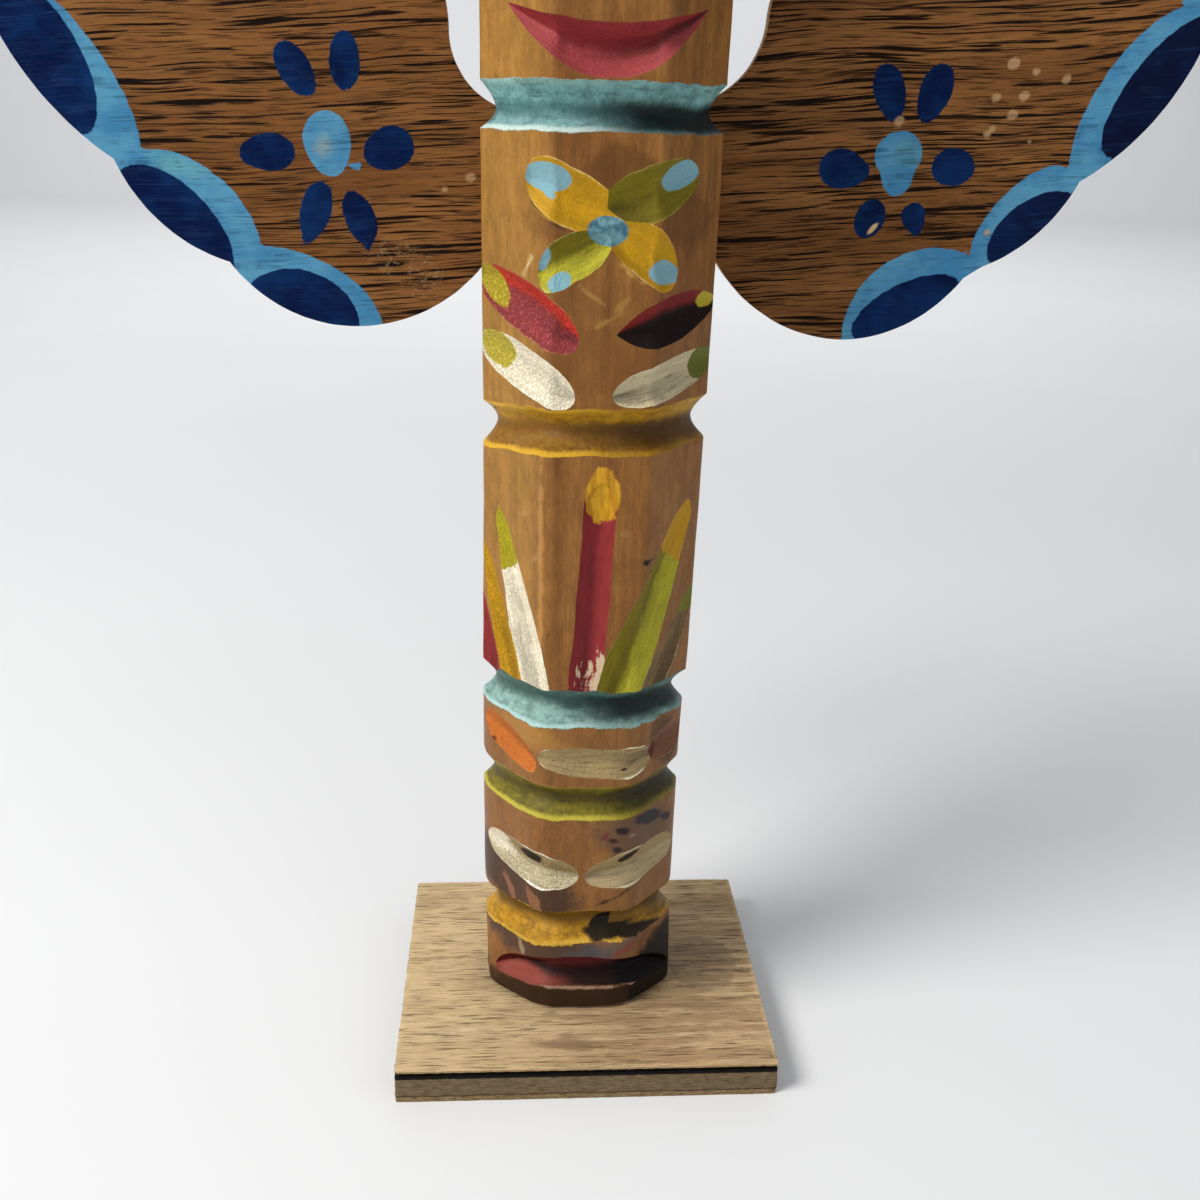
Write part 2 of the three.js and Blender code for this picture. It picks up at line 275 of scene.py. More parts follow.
class Recipe:
    """A node tree that is written as nested calls and sums."""

    def __init__(self, tree):
        self.tree = tree

    def feed(self, socket, value):
        if isinstance(value, Value):
            self.tree.links.new(value.socket, socket)
        else:
            socket.default_value = paint(value) if isinstance(value, str) else value

    def add(self, kind, sockets, out=0, **settings):
        """A new node, with its sockets by name or number, and one of its outputs."""
        node = self.tree.nodes.new("ShaderNode" + kind)
        for name, value in settings.items():
            setattr(node, name, value)
        for name, value in sockets.items():
            self.feed(node.inputs[name], value)
        return Value(self, node.outputs[out])

    def sum(self, operation, *values):
        return self.add("Math", dict(enumerate(values)), operation=operation)

    def vector(self, operation, *values, out=0):
        return self.add("VectorMath", dict(enumerate(values)), out, operation=operation)

    def mix(self, share, first, second):
        """The first colour where share is 0, the second where it is 1."""
        return self.add("Mix", {0: share, 6: first, 7: second}, 2, data_type="RGBA")

    def shade(self, colour, factor):
        """A colour made darker or lighter."""
        return self.add("VectorMath", {0: colour, "Scale": factor}, operation="SCALE")

    def step(self, value, low, high, to_low=0.0, to_high=1.0):
        """Rises smoothly from to_low to to_high while the value goes from low to high."""
        sockets = {"Value": value, "From Min": low, "From Max": high}
        sockets.update({"To Min": to_low, "To Max": to_high})
        return self.add("MapRange", sockets, interpolation_type="SMOOTHSTEP")

    def tint(self, colour, other, value, low, high, share=1.0):
        """Another colour comes in, up to its share, while the value goes from low to high."""
        return self.mix(self.step(value, low, high) * share, colour, other)

    def noise(self, place, scale, detail=2.0, roughness=0.5, distortion=0.0, out=0):
        """Clouds with so many waves to the millimetre. Three scales stretch them along the axes."""
        if isinstance(scale, tuple):
            place = self.vector("MULTIPLY", place, scale)
            scale = 1.0
        sockets = {"Vector": place, "Scale": scale, "Detail": detail}
        sockets.update({"Roughness": roughness, "Distortion": distortion})
        return self.add("TexNoise", sockets, out)

    def lumps(self, place, scale, detail=3):
        """Noise on both sides of zero, which makes an edge ragged."""
        return self.noise(place, scale, detail, 0.6) - 0.5

    def split(self, vector):
        axes = self.add("SeparateXYZ", {0: vector}).socket.node.outputs
        return [Value(self, axis) for axis in axes]

    def place(self):
        """Object coordinates in millimetres."""
        return self.vector("MULTIPLY", self.add("TexCoord", {}, 3), (1 / MM, 1 / MM, 1 / MM))

    def use(self, group, **sockets):
        """Places a group in the tree and hands back its outputs by name."""
        node = self.tree.nodes.new("ShaderNodeGroup")
        node.node_tree = group
        for label, value in sockets.items():
            self.feed(node.inputs[label.replace("_", " ")], value)
        return SimpleNamespace(**{out.name: Value(self, out) for out in node.outputs})


class Group(Recipe):
    """A node group. Its inputs are found in i, such as i.Half_Width for Half Width."""

    def __init__(self, name, **inputs):
        super().__init__(bpy.data.node_groups.new(name, "ShaderNodeTree"))
        for label, value in inputs.items():
            kind = {str: "Color", tuple: "Vector", float: "Float"}[type(value)]
            self.socket(label.replace("_", " "), "INPUT", kind).default_value = (
                paint(value) if kind == "Color" else value
            )
        source = self.tree.nodes.new("NodeGroupInput").outputs
        self.i = SimpleNamespace(**{label: Value(self, out) for label, out in zip(inputs, source)})

    def socket(self, label, side, kind):
        return self.tree.interface.new_socket(label, in_out=side, socket_type="NodeSocket" + kind)

    def give(self, **outputs):
        """Makes the outputs, feeds them and hands back the group."""
        for label in outputs:
            self.socket(label, "OUTPUT", "Color" if label == "Color" else "Float")
        target = self.tree.nodes.new("NodeGroupOutput").inputs
        for label, value in outputs.items():
            self.feed(target[label], value)
        return self.tree


class Finish(Recipe):
    """A material with one Principled shader."""

    def __init__(self, name):
        self.material = bpy.data.materials.new(name)
        self.material.use_nodes = True
        super().__init__(self.material.node_tree)

    def done(self, colour, roughness, height, depth, specular=0.2):
        """Feeds the shader with a colour, a roughness and a height in millimetres."""
        shader = self.tree.nodes["Principled BSDF"].inputs
        self.feed(shader["Base Color"], colour)
        self.feed(shader["Roughness"], roughness)
        shader["Specular IOR Level"].default_value = specular
        bump = {"Height": height, "Distance": depth * MM, "Strength": 1.0}
        self.feed(shader["Normal"], self.add("Bump", bump))
        return self.material


def floor_finish():
    r = Finish("pale_floor")
    cloud = r.noise(r.place(), 0.004, 2)
    return r.done(r.mix(cloud, "e7e8e9", "edeeef"), 0.7, cloud, 0.01)


floor.data.materials.append(floor_finish())
print("floor finish:", floor.data.materials[0].name)

# %% [markdown]
# ## A dab of paint
# The petals, blossoms, scallops and many stains are ovals laid down with a round brush. One
# group answers, for any place, whether it lies in such an oval. Noise wobbles its edge.

# %% The dab group
ORIGIN = (0, 0, 0)


def build_dab():
    r = Group("dab", Place=ORIGIN, Middle=ORIGIN, Half_Length=5.0, Half_Width=3.0, Angle=0.0, Taper=0.0,
              Wobble=0.3, Softness=0.15)
    away = r.vector("SUBTRACT", r.i.Place, r.i.Middle)
    turned = r.add("VectorRotate", {"Vector": away, "Angle": r.i.Angle}, rotation_type="Y_AXIS")
    along, _, across = r.split(turned)
    share = along / r.i.Half_Length
    off = across / (r.i.Half_Width * (share * r.i.Taper + 1.0))
    inside = (1.0 - r.sum("SQRT", share * share + off * off)) * r.i.Half_Width
    edge = inside + r.lumps(r.i.Place, 0.45) * (r.i.Wobble * 2.0)
    return r.give(Mask=r.step(edge, r.i.Softness * -1.0, r.i.Softness))


DAB = build_dab()
print("dab:", len(DAB.nodes), "nodes")


def dab(r, place, middle, half_length, half_width, angle=0.0, **more):
    """The mask of one oval on the front: its middle is x and the height above the plate."""
    centre = (middle[0], 0.0, middle[1] + FLOOR_OF_HEIGHTS)
    size = dict(Half_Length=half_length, Half_Width=half_width, Angle=math.radians(angle))
    return r.use(DAB, Place=place, Middle=centre, **size, **more).Mask


def lay_dabs(r, place, colour, rows, within=1.0, **edge):
    """Lays dabs over a colour, each with its own colour and strength."""
    for middle, length, width, angle, code, strength in rows:
        mask = dab(r, place, middle, length, width, angle, **edge)
        colour = r.mix(mask * within * strength, colour, code)
    return colour


# %% [markdown]
# ## The wood of the post
# The post is a split stick of reddish brown wood, oiled and handled. Its growth rings run up the
# post, so its figure is noise that is stretched along the height and read by the distance from
# a pith behind the middle. Low down it is redder, and old stains lie on the two lowest bands,
# with a near-black painted shade on the foot's right corner, away from the light.

# %% The stains on the post
# Soft-edged stains, and painted shade on the foot's right corner: middle, half length, half width,
# angle, colour and strength.
POST_STAINS_AND_SHADE = [
    ((10.0, 42.8), 9.0, 5.2, -18, "574234", 0.7), ((-14.5, 29.5), 13.0, 6.8, -14, "3a281e", 0.85),
    ((-9.0, 14.5), 15.5, 4.8, -8, "43322a", 0.85), ((4.0, 14.8), 8.0, 2.2, 6, "4c545c", 0.6),
    ((-12.4, 66.4), 7.0, 3.0, -14, "a87838", 0.7), ((0.0, 1.6), 26.0, 5.4, 0, "2b1b12", 0.95),
    # The first dab on the next line is painted shade on the foot's right corner.
    ((18.5, 5.0), 9.0, 9.5, 0, "0c0806", 0.98), ((2.0, 173.5), 6.5, 5.0, 0, "52300f", 0.55),
    ((14.5, 166.5), 4.5, 6.0, 40, "52300f", 0.45), ((-9.5, 165.0), 4.0, 2.6, -30, "5a3716", 0.45),
    ((0.0, 142.0), 6.0, 12.0, 90, "70451c", 0.4), ((8.0, 90.0), 14.0, 3.0, 80, "6a4524", 0.4),
    ((16.0, 61.5), 3.0, 6.5, 20, "2c1c14", 0.6),
]

# Small crisp marks: flecks, scuffs, drips and a pale streak along the front's left edge.
POST_MARKS = [
    ((12.8, 45.2), 3.4, 1.5, -28, "17131c", 0.95), ((17.0, 42.2), 1.8, 0.8, -40, "17131c", 0.9),
    ((7.0, 44.6), 1.2, 0.8, -20, "17131c", 0.95), ((5.0, 42.7), 0.9, 0.6, -10, "33141a", 0.9),
    ((3.3, 43.6), 0.9, 0.5, 60, "6a1f20", 0.7), ((6.1, 40.3), 0.9, 0.6, 0, "17131c", 0.9),
    ((9.4, 43.0), 0.6, 0.4, 0, "a89a90", 0.7), ((-16.2, 26.8), 2.8, 0.7, 112, "8f5c42", 0.8),
    ((-11.6, 27.0), 3.2, 0.9, 110, "8c5a3c", 0.8), ((-10.4, 26.4), 2.2, 0.6, 100, "946242", 0.8),
    ((-13.8, 13.2), 2.6, 0.5, 100, "a08a6c", 0.7), ((8.6, 14.6), 3.0, 0.9, 20, "8a3c2c", 0.7),
    ((12.6, 14.0), 2.4, 0.8, 60, "6e3626", 0.6), ((-10.6, 103.0), 25.0, 0.38, 90.5, "c08a4c", 0.5),
    ((-1.6, 153.0), 2.4, 0.3, -35, "a8823f", 0.7), ((3.2, 152.0), 1.4, 0.5, 40, "a8823f", 0.5),
    ((0.6, 149.0), 1.8, 0.35, 30, "a8823f", 0.6), ((-13.8, 112.0), 1.0, 0.5, 40, "b08a58", 0.35),
    ((-11.6, 104.2), 1.4, 0.4, 55, "b08a58", 0.35), ((5.2, 109.6), 1.3, 0.5, -20, "a07c4c", 0.3),
    ((9.6, 103.6), 0.55, 0.45, 0, "1c0f0c", 1.0), ((10.9, 104.0), 0.5, 0.2, 10, "1c0f0c", 1.0),
    ((4.6, 28.0), 3.4, 0.35, 24, "24160f", 0.8), ((-1.0, 5.7), 11.0, 0.4, -1, "b9937a", 0.8),
    ((-14.5, 20.5), 3.0, 0.35, -22, "d8b070", 0.6), ((-10.0, 166.6), 1.9, 0.45, -32, "d9a83c", 0.8),
    ((-8.4, 165.0), 1.4, 0.35, -30, "3a2410", 0.8), ((-12.0, 168.0), 1.4, 0.3, -48, "3a2410", 0.7),
    ((-13.3, 158.0), 1.1, 0.3, 70, "d8c890", 0.7), ((4.5, 157.4), 1.8, 0.3, -38, "c79a4a", 0.7),
]

# %% The wood of the post
PITH = (-5.0, 9.0, 0.0)


def yellow_oval(r, place, colour):
    """The yellow dab over the upper end of the red channel."""
    streaks = r.noise(place, (0.9, 0.9, 0.2), 3, 0.6)
    yellow = r.mix(r.step(streaks, 0.35, 0.65), "a87412", "cf9a22")
    return r.mix(dab(r, place, (0.75, 116.8), 5.6, 3.2, 91, Wobble=0.9), colour, yellow)


def flower_middle(r, place, colour):
    """The blossom's middle, a pale blue dab over the inner tips of the petals."""
    blue = r.mix(r.step(r.noise(place, 0.5, 3, 0.6), 0.35, 0.65), "3b6678", "6f9aa0")
    return r.mix(dab(r, place, (0.5, 164.3), 3.6, 2.5, -4), colour, blue)


def build_post_wood():
    r = Group("post_wood", Place=ORIGIN)
    place = r.i.Place
    x, y, z = r.split(place)
    drift = r.noise(place, (0.035, 0.035, 0.012), out=1)
    moved = r.vector("ADD", place, r.vector("MULTIPLY", drift, (9, 9, 0)))
    radial = r.vector("MULTIPLY", r.vector("SUBTRACT", moved, PITH), (1, 1, 0))
    distance = r.vector("LENGTH", radial, out=1)
    rings = r.noise(r.add("CombineXYZ", {0: distance, 2: z * 0.012}), 0.5, 3, 0.55)
    streaks = r.noise(place, (0.42, 0.42, 0.016), 3, 0.6)
    fibres = r.noise(place, (2.6, 2.6, 0.11), 3, 0.65)
    clouds = r.noise(place, (0.06, 0.06, 0.035), 3, 0.55)
    colour = r.mix(r.step(rings * 0.5 + streaks * 0.5, 0.3, 0.7), "7b4f22", "9c6a32")
    colour = r.tint(colour, "7c4c22", clouds, 0.42, 0.66, 0.5)
    colour = r.tint(colour, "6b4520", fibres, 0.62, 0.38, 0.25)
    colour = r.tint(colour, "855a33", z, 92, 78, 0.4)
    # Painted highlight: the left facets above the bands, which face the light, are painted lighter and
    # more golden.
    colour = r.mix(r.step(x, -8, -14) * r.step(z, 80, 95) * 0.35, colour, "b58a3c")
    mottled = r.noise(place, (0.55, 0.55, 0.2), 4, 0.7)
    colour = r.shade(colour, r.step(mottled, 0.3, 0.7, 0.8, 1.14))
    colour = r.tint(colour, "4a2c12", r.noise(place, (1.6, 1.6, 0.35), 2, 0.6), 0.66, 0.74, 0.45)
    colour = r.shade(colour, r.noise(place, 2.4, 2, 0.7) * 0.4 + 0.8)

    torn = (r.noise(place, 0.16, 3, 0.65) - 0.5) * 22.0
    front = r.step(y + torn, 7, 3)
    colour = lay_dabs(r, place, colour, POST_STAINS_AND_SHADE, front, Wobble=2.2, Softness=1.5)
    colour = lay_dabs(r, place, colour, POST_MARKS, front, Wobble=0.8, Softness=0.3)
    dabbed = flower_middle(r, place, yellow_oval(r, place, colour))
    return r.give(
        Color=r.mix(r.step(y, 3, 1), colour, dabbed),
        Roughness=clouds * 0.22 + fibres * 0.1 + 0.3,
        Height=fibres * 0.6 + streaks * 0.4,
    )


def plain_post_finish():
    r = Finish("post_wood")
    wood = r.use(POST_WOOD, Place=r.place())
    return r.done(wood.Color, wood.Roughness, wood.Height, 0.12)


POST_WOOD = build_post_wood()
post_finish = plain_post_finish()
print("post wood:", len(POST_WOOD.nodes), "nodes")

# %% [markdown]
# ## Paint in the grooves
# Each groove was rasped round the post and then brushed full of one colour. The brush strayed
# over the lips here and there. The walls are painted lighter or darker as they face the light, the
# valley darker, and the right part, away from the light, near black: painted light and shade,
# with a few specks of dirt. The post keeps a map with the height that each place had before the
# grooves were tilted, so the paint can follow them.

# %% The groove paint
LIP_SPILL = 1.6  # the coat's finish reaches this far past the lips
# Each groove: front, left and right heights, width, depth, and where its valley lies.
GROOVES = [
    dict(front=21.4, left=19.4, right=19.2, width=8.0, depth=3.2, valley=0.5),
    dict(front=51.4, left=52.1, right=51.2, width=7.6, depth=2.4, valley=0.52),
    dict(front=73.1, left=73.6, right=71.2, width=8.2, depth=3.0, valley=0.5),
    dict(front=128.9, left=127.2, right=129.2, width=8.8, depth=3.0, valley=0.5),
    dict(front=184.3, left=184.3, right=184.3, width=8.0, depth=3.0, valley=0.4),
]
# Each coat's colours: upper wall, valley, lower wall and lip, then a near black for painted shade on the
# right part and its specks of dirt, and where that shade begins and how strong it is.
GROOVE_COATS = dict(
    yellow_low=dict(
        Upper="7a5a1a", Middle="5f400f", Lower="bd8a16", Lip="d2a63c", Dirt="24140a",
        Stray=0.9, Over=1.1, Dark_From=4.0, Dark=0.6,
    ),
    olive=dict(
        Upper="766620", Middle="3f3610", Lower="7a6e1c", Lip="c2b43e", Dirt="1d180a",
        Stray=0.4, Over=0.3, Dark_From=-2.0, Dark=0.85,
    ),
    turquoise_low=dict(
        Upper="55746a", Middle="2f4a42", Lower="8aaea4", Lip="b4d6d2", Dirt="0a1716",
        Top_Lip=0.0, Stray=0.9, Over=0.7, Dark_From=-9.0, Dark=0.95,
    ),
    yellow_high=dict(
        Upper="b5861c", Middle="70490f", Lower="8a6014", Lip="dba92e", Dirt="3d2508",
        Top_Lip=0.85, Stray=0.25, Over=0.15, Dark_From=-8.0, Dark=0.75,
    ),
    turquoise_high=dict(
        Upper="79a8a4", Middle="335c5c", Lower="7ba3a4", Lip="cfe0d6", Dirt="071311",
        Top_Lip=0.15, Stray=0.35, Over=0.2, Dark_From=-8.0, Dark=0.97,
    ),
)


def build_groove_coat():
    r = Group("groove_coat", Place=ORIGIN, Level=0.0, Half_Width=4.0, Valley=0.0, Upper="ffffff",
              Middle="888888", Lower="ffffff", Lip="ffffff", Top_Lip=0.3, Dirt="000000", Stray=0.5,
              Over=0.3, Dark_From=0.0, Dark=0.5)
    i, place = r.i, r.i.Place
    x = r.split(place)[0]
    lumps, crumbs = r.lumps(place, 0.22), r.lumps(place, 1.1, 2)
    high = i.Half_Width - i.Level
    low = i.Half_Width + i.Level + i.Over * r.step(x, 4, -16)
    ragged = (lumps * 2.4 + crumbs * 1.2) * i.Stray
    inside = r.step(r.sum("MINIMUM", high, low) + ragged, -0.12, 0.12)

    wall = i.Level - i.Valley + lumps * 1.6
    # Painted light and shade: each wall has its own copy of the coat, lighter or darker as it faces the
    # light.
    colour = r.mix(r.step(wall, -0.6, 1.2), i.Lower, i.Upper)
    colour = r.tint(colour, i.Middle, r.noise(place, 0.35, 3, 0.6), 0.42, 0.68, 0.45)
    colour = r.tint(colour, i.Middle, r.noise(place, (0.16, 0.16, 1.1), 3, 0.65), 0.52, 0.68, 0.5)
    colour = r.shade(colour, r.step(r.noise(place, 0.95, 3, 0.7), 0.3, 0.7, 0.78, 1.16))
    # Painted shade: the coat darkens towards the valley.
    colour = r.tint(colour, i.Middle, abs(wall), 2.2, 0.2, 0.75)
    # Painted shade on the right part, away from the light: the coat goes near black around the valley, and
    # the pale lips fade there. The specks are dirt.
    right = r.step(x, i.Dark_From, i.Dark_From + 15.0)
    kept = 1.0 - right * 0.8
    rim = r.step(low + crumbs * 0.6, 1.15, 0.45)
    colour = r.mix(rim * kept * 0.85, colour, i.Lip)
    top_rim = r.step(high + crumbs * 0.8, 1.3, 0.5)
    colour = r.mix(top_rim * kept * i.Top_Lip, colour, i.Lip)
    shade = r.step(abs(wall + 1.0), 3.5, 1.3) * right * i.Dark
    speck = r.step(r.noise(place, 2.2, 2, 0.6), 0.66, 0.74) * 0.45
    colour = r.mix(r.sum("MAXIMUM", shade, speck), colour, i.Dirt)
    return r.give(Color=colour, Mask=inside, Height=r.noise(place, (1.6, 1.6, 0.7), 3, 0.7))


def dark_fin(r, place, colour):
    """A black patch in the lowest groove: a peak with a long tail to the right."""
    edge = dict(Wobble=0.25, Softness=0.25)
    fin = dab(r, place, (3.2, 20.6), 3.7, 1.9, 60, Taper=-0.5, **edge)
    for spill in (((4.6, 18.9), 5.6, 1.2, -3), ((11.0, 17.3), 8.2, 0.9, -17)):
        fin = r.sum("MAXIMUM", fin, dab(r, place, *spill, **edge))
    return r.mix(fin * r.step(r.split(place)[1], 3, 1) * 0.97, colour, "0e0804")


def groove_finish(name, groove):
    r = Finish("coat_" + name)
    place = r.place()
    wood = r.use(POST_WOOD, Place=place)
    height_before = r.split(r.add("UVMap", {}, uv_map="work"))[1]
    half = groove["width"] / 2
    sizes = dict(Level=height_before - groove["front"], Half_Width=half)
    sizes["Valley"] = (2 * groove["valley"] - 1) * half
    coat = r.use(GROOVE_COAT, Place=place, **sizes, **GROOVE_COATS[name])
    colour = dark_fin(r, place, coat.Color) if name == "yellow_low" else coat.Color
    height = wood.Height * 0.4 + coat.Mask * coat.Height
    return r.done(r.mix(coat.Mask, wood.Color, colour), 0.46, height, 0.22)


GROOVE_COAT = build_groove_coat()
groove_finishes = [groove_finish(name, groove) for name, groove in zip(GROOVE_COATS, GROOVES)]
print("groove coats:", [finish.name for finish in groove_finishes])

# %% [markdown]
# ## The planed post
# A ring of eight corners is drawn up to the full height, zone by zone: foot, bands and grooves.
# Each zone's upright edges are then subdivided finely enough to carry tool marks. This could be
# one cylinder, but then no row of faces would lie along the lips of the grooves.

# %% Draw up the post
SIDE_HALF_WIDTH = 20.9
WIDENING = 1.1 / 184
FLAT_HALF_WIDTH = 9.4
FRONT_Y, SIDE_FRONT_Y, SIDE_BACK_Y, BACK_Y = -15.5, -1.0, 4.0, 15.5
BACK_HALF_WIDTH = 13.0
RIGHT_CORNERS = [
    (FLAT_HALF_WIDTH, FRONT_Y),
    (SIDE_HALF_WIDTH, SIDE_FRONT_Y),
    (SIDE_HALF_WIDTH, SIDE_BACK_Y),
    (BACK_HALF_WIDTH, BACK_Y),
]
CORNERS = RIGHT_CORNERS + [(-x, y) for x, y in reversed(RIGHT_CORNERS)]
FACET_STEP, BACK_STEP, ROW_STEP = 0.78, 1.3, 0.76
TOUCH_GAP = 0.3
FOOT_BEVEL, TOP_BEVEL = 0.7, 2.2
POST_TOP = 235.5

lips = [g["front"] + side * g["width"] / 2 for g in GROOVES for side in (-1, 1)]
ZONES = [TOUCH_GAP, TOUCH_GAP + FOOT_BEVEL, *lips, POST_TOP - TOP_BEVEL, POST_TOP]


def on_facet(edge, start, end):
    ends = [Vector((v.co.x, v.co.y)) / MM for v in edge.verts]
    return all(min((p - Vector(c)).length for p in ends) < 0.01 for c in (start, end))


def pick_row(post, height):
    pick(post, "verts", lambda v: abs(v.co.z - height * MM) < 1e-6)


def draw_up_post():
    ring = dict(vertices=len(CORNERS), radius=20 * MM, fill_type="NOTHING")
    post = new_piece("carved_post", bpy.ops.mesh.primitive_circle_add, **ring)
    put(post.data, [(x, y, ZONES[0]) for x, y in CORNERS])
    bpy.ops.object.mode_set(mode="EDIT")
    for start, end in zip(CORNERS, CORNERS[1:] + CORNERS[:1]):
        length = (Vector(end) - Vector(start)).length
        step = FACET_STEP if min(start[1], end[1]) < 0 else BACK_STEP
        pick(post, "edges", lambda e: on_facet(e, start, end))
        bpy.ops.mesh.subdivide(number_cuts=round(length / step) - 1)
    bpy.ops.mesh.select_all(action="SELECT")
    for low, high in zip(ZONES, ZONES[1:]):
        extrude(0, 0, (high - low) * MM)
        rows = max(2, round((high - low) / ROW_STEP))
        middle = (low + high) / 2 * MM
        pick(post, "edges", lambda e: abs(mid(e).z - middle) < 1e-5)
        bpy.ops.mesh.subdivide(number_cuts=rows - 1)
        pick_row(post, high)
    bpy.ops.mesh.edge_face_add()
    pick_row(post, ZONES[0])
    bpy.ops.mesh.edge_face_add()
    face_outwards()
    return post


post = draw_up_post()
print("post blank:", len(post.data.polygons), "faces")

# %% [markdown]
# ## Rasp the grooves
# Every vertex knows how far round the post it lies and at what height. From these two the
# worn edges, the slight bow, the grooves with their tilt and the planing marks are worked out.
# Averaging the outline over a short stretch rounds its corners, and over a long stretch gives
# the soft round section at the bottom of a groove.

# %% The planed outline
loop = np.array(CORNERS[-1:] + CORNERS)
loop_at = np.concatenate([[0], np.cumsum(np.hypot(*np.diff(loop, axis=0).T))])
ROUND = loop_at[-1]
FINE = np.linspace(-ROUND, 2 * ROUND, 24001)
outline_fine = np.stack([np.interp(FINE % ROUND, loop_at, loop[:, k]) for k in (0, 1)])
outline_sums = np.cumsum(outline_fine, axis=1) * (FINE[1] - FINE[0])


def outline(at, reach):
    """The planed outline, averaged over the reach on both sides of each place."""
    highs = [np.interp(at + reach, FINE, sums) for sums in outline_sums]
    lows = [np.interp(at - reach, FINE, sums) for sums in outline_sums]
    return np.stack([(h - l) / (2 * reach) for h, l in zip(highs, lows)])


def place_round(x, y):
    """How far along the outline each point of the blank lies, from the front's left edge."""
    best = np.full(len(x), np.inf)
    at = np.zeros(len(x))
    for k in range(len(loop) - 1):
        start, edge = loop[k], loop[k + 1] - loop[k]
        length = np.hypot(*edge)
        share = np.clip(((x - start[0]) * edge[0] + (y - start[1]) * edge[1]) / length**2, 0, 1)
        off = np.hypot(start[0] + share * edge[0] - x, start[1] + share * edge[1] - y)
        better = off < best - 1e-6
        best[better] = off[better]
        at[better] = loop_at[k] + share[better] * length
    return at


print("round the post:", round(float(ROUND), 1), "mm")

# %% Shape the post
BOW, BOW_HEIGHT, BOW_REACH = 1.0, 45.0, 60.0
EDGE_ROUNDING, WORN_ROUNDING, BACK_ROUNDING = 1.0, 4.2, 1.0
WORN_FROM, WORN_TO = 78.0, 68.0
GROOVE_ROUNDING = 8.0
GROOVE_BLUNTNESS = 1.7
FLANK_EASING, FLANK_FROM, FLANK_TO = 0.5, 0.55, 0.95
FOOT_FULLNESS, FOOT_FULL_TO = 4.6, 17.0
PLANE_MARKS, GRAIN_MARKS, RASP_MARKS = 0.22, 0.06, 0.18
LIP_WOBBLE = 0.3


def smoothstep(value, low, high):
    share = np.clip((value - low) / (high - low), 0, 1)
    return share * share * (3 - 2 * share)


def half_width(height):
    return SIDE_HALF_WIDTH + WIDENING * height


def bow_at(height):
    return -BOW * np.exp(-(((height - BOW_HEIGHT) / BOW_REACH) ** 2))


def edge_rounding(height):
    """The front's edges are worn rounder low down."""
    worn = 1 - smoothstep(height, WORN_TO, WORN_FROM)
    return EDGE_ROUNDING + worn * (WORN_ROUNDING - EDGE_ROUNDING)


def foot_fullness(height):
    """How far the side corners stand forward where the post is fuller, at its foot."""
    return FOOT_FULLNESS * (1 - smoothstep(height, 4.0, FOOT_FULL_TO))


def groove_depth(height):
    """How deep each height lies in a groove, and the share of that groove's full depth."""
    depth = np.zeros_like(height)
    share = np.zeros_like(height)
    for g in GROOVES:
        across = (height - g["front"]) / g["width"] + 0.5
        valley = g["valley"]
        lower, upper = across / (2 * valley), 0.5 + (across - valley) / (2 * (1 - valley))
        warped = np.where(across < valley, lower, upper)
        inside = (across > 0) & (across < 1)
        sunk = 1 - np.abs(2 * np.clip(warped, 0, 1) - 1) ** GROOVE_BLUNTNESS
        share[inside] = sunk[inside]
        depth[inside] = g["depth"] * sunk[inside]
    return depth, share


def climb(height, side):
    """How far a row has been tilted at a side of the post."""
    rises = [g[side] - g["front"] for g in GROOVES for _ in (-1, 1)]
    return np.interp(height, ZONES[1:-1], [0.0, *rises, 0.0])


def rough_over(points, stretch, size, seed=0.0):
    return np.array([rough(p * stretch, size, seed) for p in points])


def shape_post(post):
    blank = places(post.data)
    height = blank[:, 2]
    at = place_round(blank[:, 0], blank[:, 1])
    behind = smoothstep(blank[:, 1], 1.0, 3.0)
    reach = edge_rounding(height) * (1 - behind) + BACK_ROUNDING * behind
    depth, soft = groove_depth(height)
    section = outline(at, reach) * (1 - soft) + outline(at, GROOVE_ROUNDING) * soft
    ends = np.interp(height, ZONES[:2] + ZONES[-2:], [FOOT_BEVEL, 0, 0, TOP_BEVEL])
    bevel = (np.abs(section[0]) - FLAT_HALF_WIDTH) / (SIDE_HALF_WIDTH - FLAT_HALF_WIDTH)
    forward = np.clip((SIDE_BACK_Y - section[1]) / (SIDE_BACK_Y - SIDE_FRONT_Y), 0, 1)
    section[1] -= foot_fullness(height) * np.clip(bevel, 0, 1) * forward
    far = np.hypot(*section)
    flank = smoothstep(np.abs(section[0]) / SIDE_HALF_WIDTH, FLANK_FROM, FLANK_TO)
    depth = depth * (1 - FLANK_EASING * flank)
    marks = 0.5 + 0.5 * rough_over(blank, (1, 1, 1), 9.0)
    grain = 0.5 + 0.5 * rough_over(blank, (4, 4, 0.25), 5.0, 3.1)
    tool = 0.5 + 0.5 * rough_over(blank, (0.8, 0.8, 1.6), 1.4, 5.7)
    depth = depth + PLANE_MARKS * marks + GRAIN_MARKS * grain + RASP_MARKS * soft * tool
    section = section * (1 - (depth + ends) / far)
    x = section[0] * half_width(height) / SIDE_HALF_WIDTH
    share = x / half_width(height)
    tilt = np.where(x < 0, climb(height, "left"), climb(height, "right")) * share**2
    off_ends = smoothstep(height, 3, 9) * (1 - smoothstep(height, 222, 230))
    wobble = LIP_WOBBLE * rough_over(blank, (1, 1, 0.2), 4.5, 8.8) * off_ends
    z = FLOOR_OF_HEIGHTS + height + tilt + wobble
    put(post.data, np.stack([x + bow_at(height), section[1], z], axis=1))
    return at, height


